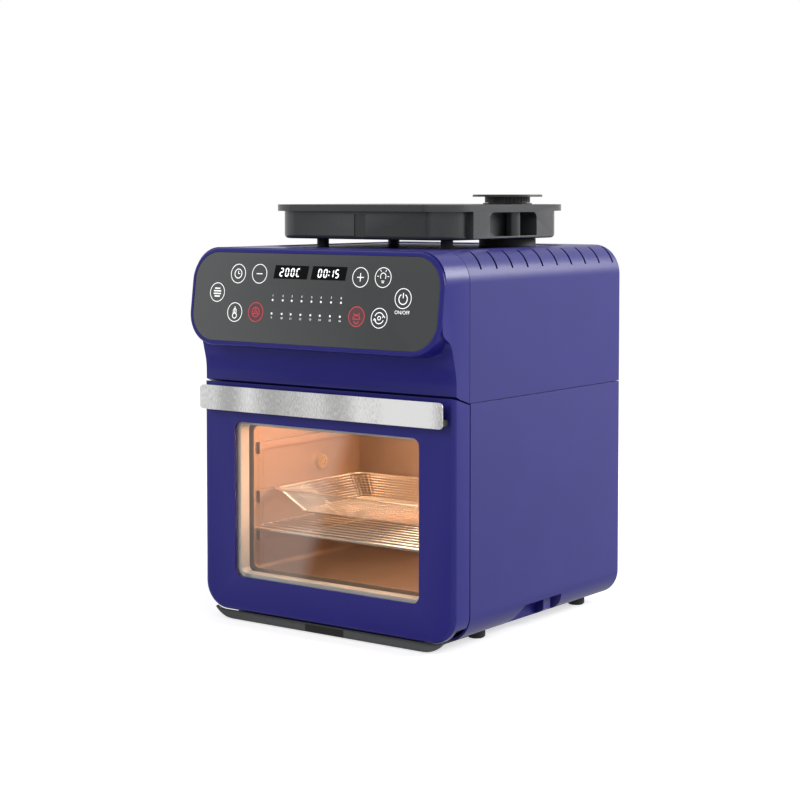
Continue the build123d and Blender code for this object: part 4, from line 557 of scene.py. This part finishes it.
EDGE_BREAKS = {
    "lower_housing": 0.4, "upper_housing": 0.3, "head_housing": 0.4, "door_shell": 0.5,
    "handle_strip": 0.25, "handle_backing": 0.4, "control_panel": 0.2, "condensate_tray": 0.3,
    "water_tank": 0.5, "tank_lid": 0.3, "filler_cap": 0.3, "feet": 0.3, "base_plate": 0.3,
    "rear_cover": 0.3, "cord_gland": 0.3, "cavity_liner": 0.0, "front_frame": 0.0,
    "glass_spacer": 0.4, "door_inner_frame": 0.3, "water_dock": 0.3, "tank_posts": 0.3,
    "heating_element": 0.0, "wire_rack": 0.0, "lamp_glass": 0.3, "steam_nozzle": 0.2,
    "door_gasket": 0.3,
}
shells = [dressed(node, bevel) for node, bevel in EDGE_BREAKS.items()]
print(len(shells), "shells dressed")

# %% [markdown]
# The marks on the panel are printed behind its glass. They are made as very thin raised
# shapes, drawn flat in the panel's own plane and then leaned back with it: rings are a
# small square spun round, bars are flattened blocks, and dots are low cylinders.

# %% Drawing on the leaning panel
PANEL_TILT = math.radians(7.5)
INK = 0.10
panel_up = Vector((0.0, math.sin(PANEL_TILT), math.cos(PANEL_TILT)))
panel_out = Vector((0.0, -math.cos(PANEL_TILT), math.sin(PANEL_TILT)))
panel_middle = spot(0, -19.2, 321) - panel_out * 0.3 * MM
panel_place = Matrix.Identity(4)
for column, axis in enumerate((Vector((1, 0, 0)), panel_up, panel_out, panel_middle)):
    for row in range(3):
        panel_place[row][column] = axis[row] * (MM if column < 3 else 1.0)


def ring(marks, x, s, radius, width, start=0.0, sweep=360.0, lift=INK):
    """Flat ring or arc of ink round a point."""
    full = sweep >= 360.0
    turn = Matrix.Rotation(math.radians(start), 3, "Z")
    corners = [marks.verts.new(Vector((x, s, 0)) + turn @ Vector((radius + across, 0, high)))
               for across, high in ((-width / 2, 0), (width / 2, 0),
                                    (width / 2, lift), (-width / 2, lift))]
    face = marks.faces.new(corners)
    steps = max(6, int(abs(sweep) / 7.5))
    bmesh.ops.spin(marks, geom=[face] + list(face.edges) + corners, cent=(x, s, 0), axis=(0, 0, 1),
                   angle=math.radians(sweep), steps=steps, use_merge=full, use_duplicate=False)
    if full:
        bmesh.ops.delete(marks, geom=[f for f in marks.faces if f is face], context="FACES_ONLY")


def bar(marks, x, s, length, width, turn=0.0, lift=INK):
    """Flat strip of ink, turned in the panel's plane."""
    place = (Matrix.Translation((x, s, lift / 2)) @ Matrix.Rotation(math.radians(turn), 4, "Z")
             @ Matrix.Diagonal((length, width, lift, 1.0)))
    bmesh.ops.create_cube(marks, size=1.0, matrix=place)


def disc(marks, x, s, radius, lift=INK, segments=24):
    """Flat dot of ink."""
    place = Matrix.Translation((x, s, lift / 2))
    bmesh.ops.create_cone(marks, cap_ends=True, segments=segments, radius1=radius, radius2=radius,
                          depth=lift, matrix=place)


def ink_piece(name, marks, material, slot="panel_grey"):
    """Leans the drawing back with the panel and keeps it as a piece."""
    marks.transform(panel_place)
    bmesh.ops.recalc_face_normals(marks, faces=marks.faces)
    return piece_from(marks, name, "oven", slot, material)


# The white and red printed marks glow by emission with no lamp behind them: a painted glow.
white_glow_ink = lit("white_glow_ink", tone(238, 240, 240), 0.55)
red_glow_ink = lit("red_glow_ink", tone(200, 70, 82), 0.15)
red_glow_field = lit("red_glow_field", tone(96, 62, 66), 0.03)
glow_ink = lit("glow_ink", tone(250, 252, 252), 1.0)
print("panel at", tuple(panel_middle))
# %% [markdown]
# Ten touch keys stand round the displays, each a ring with a plain symbol. Places are given
# in millimetres from the panel's middle, across and then up the leaning face. The eight
# white keys come first, and two red ones on faint discs follow.

# %% Rings and symbols of the white keys
KEY_RADIUS = 9.3
KEY_LINE = 0.72
WHITE_KEYS = ((-120.1, 3.9), (-94.4, 23.1), (-66.9, 23.6), (-95.2, -15.2),
              (58.0, 23.2), (84.7, 23.7), (109.7, 4.8), (83.7, -14.4))

marks = bmesh.new()
for x, s in WHITE_KEYS:
    ring(marks, x, s, KEY_RADIUS, KEY_LINE)
# Programme list: four lines.
for rise, length in ((3.9, 7.0), (1.3, 9.5), (-1.3, 9.5), (-3.9, 7.0)):
    bar(marks, -120.1, 3.9 + rise, length, 1.3)
# Clock.
ring(marks, -94.4, 23.1, 4.5, 0.9)
bar(marks, -94.4, 24.4, 0.8, 3.0)
bar(marks, -93.4, 23.1, 2.4, 0.8)
# Less.
bar(marks, -66.9, 23.6, 7.5, 0.9)
# Thermometer.
bar(marks, -95.2, -13.0, 0.9, 7.0)
ring(marks, -95.2, -13.6, 1.9, 0.7, 0.0, 180.0)
bar(marks, -97.1, -15.4, 0.7, 4.0)
bar(marks, -93.3, -15.4, 0.7, 4.0)
ring(marks, -95.2, -18.6, 2.6, 0.9)
# More.
bar(marks, 58.0, 23.2, 8.0, 0.9)
bar(marks, 58.0, 23.2, 0.9, 8.0)
# Lamp with four rays.
ring(marks, 84.7, 24.8, 3.2, 0.8, -40.0, 260.0)
bar(marks, 84.7, 20.4, 3.4, 0.8)
bar(marks, 84.7, 18.9, 2.6, 0.8)
for turn in (0, 60, 120, 180):
    ray = math.radians(turn)
    bar(marks, 84.7 + 6.0 * math.cos(ray), 24.8 + 6.0 * math.sin(ray), 2.0, 0.7, turn)
# Switch.
ring(marks, 109.7, 4.2, 4.8, 1.0, 120.0, 300.0)
bar(marks, 109.7, 7.6, 1.0, 5.0)
# Turning arrows round a dot.
ring(marks, 83.7, -14.4, 5.2, 0.9, 20.0, 140.0)
ring(marks, 83.7, -14.4, 5.2, 0.9, 200.0, 140.0)
ring(marks, 83.7, -14.4, 1.7, 0.8)
for way_out in (1, -1):
    for barb in (-1, 1):
        bar(marks, 83.7 + 5.2 * way_out + 0.8 * barb, -14.4 + 1.4 * way_out, 2.4, 0.8, -50 * barb)
DOTS = (-47.6, -34.7, -23.4, -11.2, 1.1, 12.7, 25.1, 37.1)
for x in DOTS:
    disc(marks, x, -1.6, 1.05)
    disc(marks, x, -14.8, 1.05)
white_piece = ink_piece("key_marks", marks, white_glow_ink)
print("white marks", len(white_piece.data.polygons), "faces")

# %% Red keys
reds = bmesh.new()
fields = bmesh.new()
for x, s in ((-68.0, -14.2), (56.9, -14.0)):
    disc(fields, x, s, KEY_RADIUS - 0.3, lift=0.05, segments=48)
    ring(reds, x, s, KEY_RADIUS, 0.9)
# Fan with three blades.
ring(reds, -68.0, -14.2, 4.6, 0.9)
ring(reds, -68.0, -14.2, 1.6, 0.9)
for turn in (90, 210, 330):
    ray = math.radians(turn)
    bar(reds, -68.0 + 3.0 * math.cos(ray), -14.2 + 3.0 * math.sin(ray), 2.4, 0.9, turn)
# Steam over a dish.
ring(reds, 56.9, -9.6, 3.6, 0.9, 200.0, 140.0)
ring(reds, 56.9, -16.2, 4.0, 0.9, 0.0, 180.0)
bar(reds, 56.9, -16.4, 9.0, 0.9)
ring(reds, 56.9, -18.0, 2.6, 0.9, 180.0, 180.0)
ink_piece("red_marks", reds, red_glow_ink)
ink_piece("red_fields", fields, red_glow_field)
print("touch keys drawn")

# %% [markdown]
# The displays show a temperature and a time. Each digit is up to seven lit strips, pointed
# at both ends and leaning a little, and each strip is an outline raised by an extrusion.

# %% Digits of the two displays
SEGMENTS = {"0": "abcdef", "1": "bc", "2": "abged", "5": "afgcd", "C": "afed"}
DIGIT_HIGH = 8.4
DIGIT_WIDE = 4.6
STROKE = 1.15
LEAN = 0.12
DIGIT_LOW = 22.2

def strip(digits, x0, s0, x1, s1, base_x, base_s):
    """One lit strip of a digit, pointed at both ends, leaning with the digit."""
    start, end = Vector((x0, s0, 0)), Vector((x1, s1, 0))
    along = (end - start).normalized()
    side_way = Vector((-along.y, along.x, 0)) * STROKE / 2
    tip = along * STROKE / 2
    outline = (start, start + tip + side_way, end - tip + side_way,
               end, end - tip - side_way, start + tip - side_way)
    verts = []
    for point in outline:
        leaned = Vector((base_x + point.x + LEAN * point.y, base_s + point.y, 0.02))
        verts.append(digits.verts.new(leaned))
    face = digits.faces.new(verts)
    raised = bmesh.ops.extrude_face_region(digits, geom=[face])
    moved = [item for item in raised["geom"] if isinstance(item, bmesh.types.BMVert)]
    bmesh.ops.translate(digits, vec=(0, 0, 0.12), verts=moved)


def digit(digits, sign, x, s):
    """Seven-strip sign with its lower left corner at a place."""
    w, h, g = DIGIT_WIDE - STROKE, DIGIT_HIGH - STROKE, 0.12
    ends = {"a": (g, h, w - g, h), "g": (g, h / 2, w - g, h / 2), "d": (g, 0, w - g, 0),
            "f": (0, h / 2 + g, 0, h - g), "e": (0, g, 0, h / 2 - g),
            "b": (w, h / 2 + g, w, h - g), "c": (w, g, w, h / 2 - g)}
    for name in SEGMENTS[sign]:
        strip(digits, *ends[name], x, s)


digits = bmesh.new()
for index, sign in enumerate("200C"):
    digit(digits, sign, -41.0 + index * 6.9, DIGIT_LOW)
for sign, x in zip("0015", (6.6, 13.4, 21.2, 27.6)):
    digit(digits, sign, x, DIGIT_LOW)
for s in (24.2, 27.6):
    disc(digits, 19.6 + LEAN * (s - DIGIT_LOW), s, 0.7, lift=0.14, segments=12)
ink_piece("display_digits", digits, glow_ink, "display_black")
print("displays lit")

# %% [markdown]
# Where the real panel has words, this one has plain numbers for its sixteen programmes, and
# only ON/OFF under the switch. Each is a text turned into a mesh and laid on the panel.

# %% Numbers and the switch's words


def words(name, text, x, s, size):
    """Thin mesh of a text on the panel, centred on a point."""
    curve = bpy.data.curves.new(name, "FONT")
    curve.body = text
    curve.size = size
    curve.align_x = "CENTER"
    curve.align_y = "CENTER"
    curve.extrude = 0.04
    maker = bpy.data.objects.new(name + "_maker", curve)
    bpy.context.collection.objects.link(maker)
    depsgraph = bpy.context.evaluated_depsgraph_get()
    mesh_data = bpy.data.meshes.new_from_object(maker.evaluated_get(depsgraph))
    bpy.data.objects.remove(maker)
    mesh_data.transform(panel_place @ Matrix.Translation((x, s, 0.06)))
    return mesh_data


def join_words(name, rows, material):
    """Several texts as one piece."""
    together = bmesh.new()
    for text, x, s, size in rows:
        together.from_mesh(words(name, text, x, s, size))
    return piece_from(together, name, "oven", "panel_grey", material)


rows = [("ON/OFF", 109.7, -8.4, 4.8)]
rows += [(str(number), x, 2.6, 3.0) for number, x in enumerate(DOTS, 1)]
rows += [(str(number), x, -19.0, 3.0) for number, x in enumerate(DOTS, 9)]
join_words("panel_words", rows, white_glow_ink)
print("numbers set")

# %% [markdown]
# The basket's walls and floor are woven wire in a solid rim. A rounded sheet is bevelled at
# its corners, its border is pulled down and in to make the walls, and the walls and floor
# are cut into a fine grid whose every edge becomes a wire.

# %% Woven basket
RIM_LOW = 116.8
BASKET_MIDDLE = 138.0
BASKET_DEEP = 22.0
TOP_HALF = (120.5, 73.0)
FLOOR_HALF = (98.5, 57.0)
WEAVE = 3.2
WIRE = 0.95


def rounded_sheet(net, half_width, half_depth, radius, above):
    """Flat rectangle at a height, with rounded corners."""
    size = Matrix.Diagonal((half_width * MM, half_depth * MM, 1.0, 1.0))
    made = bmesh.ops.create_grid(net, x_segments=1, y_segments=1, size=1.0,
                                 matrix=Matrix.Translation(spot(0, BASKET_MIDDLE, above)) @ size)
    bmesh.ops.bevel(net, geom=made["verts"], affect="VERTICES", offset=radius * MM,
                    offset_type="OFFSET", segments=6, profile=0.5, material=-1)


basket = bmesh.new()
rounded_sheet(basket, *TOP_HALF, 17.0, RIM_LOW)
for edge in [e for e in basket.edges if e.calc_length() > 0.02]:
    cuts = int(edge.calc_length() / (WEAVE * MM)) - 1
    bmesh.ops.subdivide_edges(basket, edges=[edge], cuts=cuts)
top_face = max(basket.faces, key=lambda f: f.calc_area())
border = list(top_face.edges)
bmesh.ops.delete(basket, geom=[top_face], context="FACES_ONLY")
pulled = bmesh.ops.extrude_edge_only(basket, edges=border)
lower = [item for item in pulled["geom"] if isinstance(item, bmesh.types.BMVert)]
centre = spot(0, BASKET_MIDDLE, RIM_LOW)
for vert in lower:
    from_middle = vert.co - centre
    vert.co = centre + Vector((from_middle.x * FLOOR_HALF[0] / TOP_HALF[0],
                               from_middle.y * FLOOR_HALF[1] / TOP_HALF[1], -BASKET_DEEP * MM))
upright = [e for e in basket.edges if abs(e.verts[0].co.z - e.verts[1].co.z) > 0.01]
bmesh.ops.subdivide_edges(basket, edges=upright, cuts=8, use_grid_fill=True)
floor_place = Matrix.Translation(spot(0, BASKET_MIDDLE, RIM_LOW - BASKET_DEEP))
bmesh.ops.create_grid(basket, x_segments=60, y_segments=35, size=1.0,
                      matrix=floor_place @ Matrix.Diagonal((97.0 * MM, 55.5 * MM, 1.0, 1.0)))
bmesh.ops.recalc_face_normals(basket, faces=basket.faces)
weave = piece_from(basket, "basket_weave", "basket", "chrome_wire")
wires = weave.modifiers.new("wires", "WIREFRAME")
wires.thickness = WIRE * MM
wires.use_even_offset = False
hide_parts("mesh_basket")
print("basket woven", len(weave.data.polygons), "cells")

# %% Rim and floor fold of the basket


def flat_ring(name, half_width, half_depth, radius, above, width, thickness):
    """Flat ring that is inset from a rounded sheet and given a thickness."""
    sheet = bmesh.new()
    rounded_sheet(sheet, half_width, half_depth, radius, above)
    bmesh.ops.inset_region(sheet, faces=list(sheet.faces), thickness=width * MM,
                           use_boundary=True, use_even_offset=True)
    middle = spot(0, BASKET_MIDDLE, above)
    inner = min(sheet.faces, key=lambda f: (f.calc_center_median() - middle).length)
    bmesh.ops.delete(sheet, geom=[inner], context="FACES_ONLY")
    flat = piece_from(sheet, name, "basket", "chrome_wire")
    thick = flat.modifiers.new("thick", "SOLIDIFY")
    thick.thickness = thickness * MM
    thick.offset = 0.0
    return flat


basket_rim = flat_ring("basket_rim", 125.5, 78.0, 22.0, RIM_LOW + 0.6, 5.6, 1.2)
soft = basket_rim.modifiers.new("soft", "BEVEL")
soft.width = 0.5 * MM
soft.segments = 3
flat_ring("basket_fold", 98.8, 57.3, 8.0, RIM_LOW - BASKET_DEEP, 2.0, 1.0)
print("rim and fold fitted")

# %% [markdown]
# The condensate tray closes against the door with a soft black lip, so that no light shows
# between them, and a near-black pad set in its finger notch is painted shade. The lip follows the
# strip: a straight run in the middle and a short bend up round each lower corner.

# %% Lip of the condensate tray, and a pad of painted shade in its notch
CORNER = 27.0
DOOR_LOW = 1.5
LIP_LOW, LIP_HIGH = -0.5, 1.15
LIP_BACK, LIP_FRONT = 2.6, 1.2
LIP_SWEEP = 26.0
SHADE_PAD_SIZE = (47.4, 0.6, 6.8)


def lip_section(lip, x):
    """Rectangle of the lip's section, across the strip at a place."""
    return [lip.verts.new(spot(x, y, z)) for y, z in ((LIP_FRONT, LIP_LOW), (LIP_BACK, LIP_LOW),
                                                      (LIP_BACK, LIP_HIGH), (LIP_FRONT, LIP_HIGH))]


def block_matrix(middle, size):
    """Place and size of a unit block, its size in millimetres."""
    return Matrix.Translation(middle) @ Matrix.Diagonal((*[length * MM for length in size], 1.0))


lip = bmesh.new()
for side_way in (-1, 1):
    end = side_way * STRIP_END / MM
    corners = lip_section(lip, end)
    face = lip.faces.new(corners)
    bmesh.ops.spin(lip, geom=[face] + list(face.edges) + corners,
                   cent=spot(end, 0, DOOR_LOW + CORNER), axis=(0, 1, 0),
                   angle=math.radians(-side_way * LIP_SWEEP), steps=10, use_duplicate=False)
bmesh.ops.create_cube(lip, size=1.0, matrix=block_matrix(
    spot(0, (LIP_FRONT + LIP_BACK) / 2, (LIP_LOW + LIP_HIGH) / 2),
    (2 * STRIP_END / MM, LIP_BACK - LIP_FRONT, LIP_HIGH - LIP_LOW)))
bmesh.ops.recalc_face_normals(lip, faces=lip.faces)
piece_from(lip, "strip_lip", "tray", "rubber_black")
# Near-black pad in the finger notch: a dark sheet standing in for the notch's shade, painted shade.
shade_pad = bmesh.new()
bmesh.ops.create_cube(shade_pad, size=1.0, matrix=block_matrix(spot(0, 0.45, -3.8), SHADE_PAD_SIZE))
bmesh.ops.bevel(shade_pad, geom=list(shade_pad.edges), affect="EDGES", offset=0.15 * MM, segments=2,
                profile=0.5, material=-1)
piece_from(shade_pad, "notch_shade_pad", "tray", "rubber_black", lit("notch_shade_black", tone(6, 6, 6), 0.0))
print("tray lip and finger pad fitted")

# %% [markdown]
# Screws hold the rear cover, the base and the door's inner frame. One pan-head screw is
# turned from a ring of points and pressed with a cross, and the same mesh is set at each
# place with its head square to the sheet.

# %% Screws
HEAD_HIGH = 1.5
COVER_FACE = 301.0
FRAME_FACE = 25.0

def screw_head(heads, place, facing, radius=3.2):
    """Pan-head screw with a cross recess, its back at a place and its head facing a way."""
    turn = Vector(facing).to_track_quat("Z", "Y").to_matrix().to_4x4()
    seat = Matrix.Translation(place) @ turn
    made = bmesh.ops.create_cone(heads, cap_ends=True, segments=20, radius1=radius * MM,
                                 radius2=radius * 0.72 * MM, depth=HEAD_HIGH * MM,
                                 matrix=seat @ Matrix.Translation((0, 0, HEAD_HIGH / 2 * MM)))
    top = max({f for v in made["verts"] for f in v.link_faces},
              key=lambda f: (f.calc_center_median() - place).dot(Vector(facing)))
    bmesh.ops.inset_region(heads, faces=[top], thickness=0.25 * MM, depth=0.12 * MM)
    for quarter in (0, 90):
        cross = (seat @ Matrix.Translation((0, 0, 1.63 * MM))
                 @ Matrix.Rotation(math.radians(quarter + 20), 4, "Z")
                 @ Matrix.Diagonal((radius * 1.1 * MM, 0.55 * MM, 0.06 * MM, 1.0)))
        bmesh.ops.create_cube(heads, size=1.0, matrix=cross)


def screw_piece(name, body, places, facing, radius=3.2):
    """A set of screws as one piece."""
    heads = bmesh.new()
    for place in places:
        screw_head(heads, place, facing, radius)
    bmesh.ops.recalc_face_normals(heads, faces=heads.faces)
    return piece_from(heads, name, body, "chrome_wire")


screw_piece("rear_screws", "oven",
            [spot(x, COVER_FACE, z) for x in (-143, 143) for z in (30, 120, 240, 335)]
            + [spot(x, COVER_FACE, z) for x in (-60, 60) for z in (10, 362)], (0, 1, 0))
screw_piece("base_screws", "oven",
            [spot(x, y, 0.0) for x in (-100, 0, 100) for y in (100, 280)], (0, 0, -1))
screw_piece("door_screws", "door",
            [spot(x, FRAME_FACE, z) for x in (-137, 137) for z in (60, 120, 180)], (0, 1, 0), 2.4)
print("screws set")
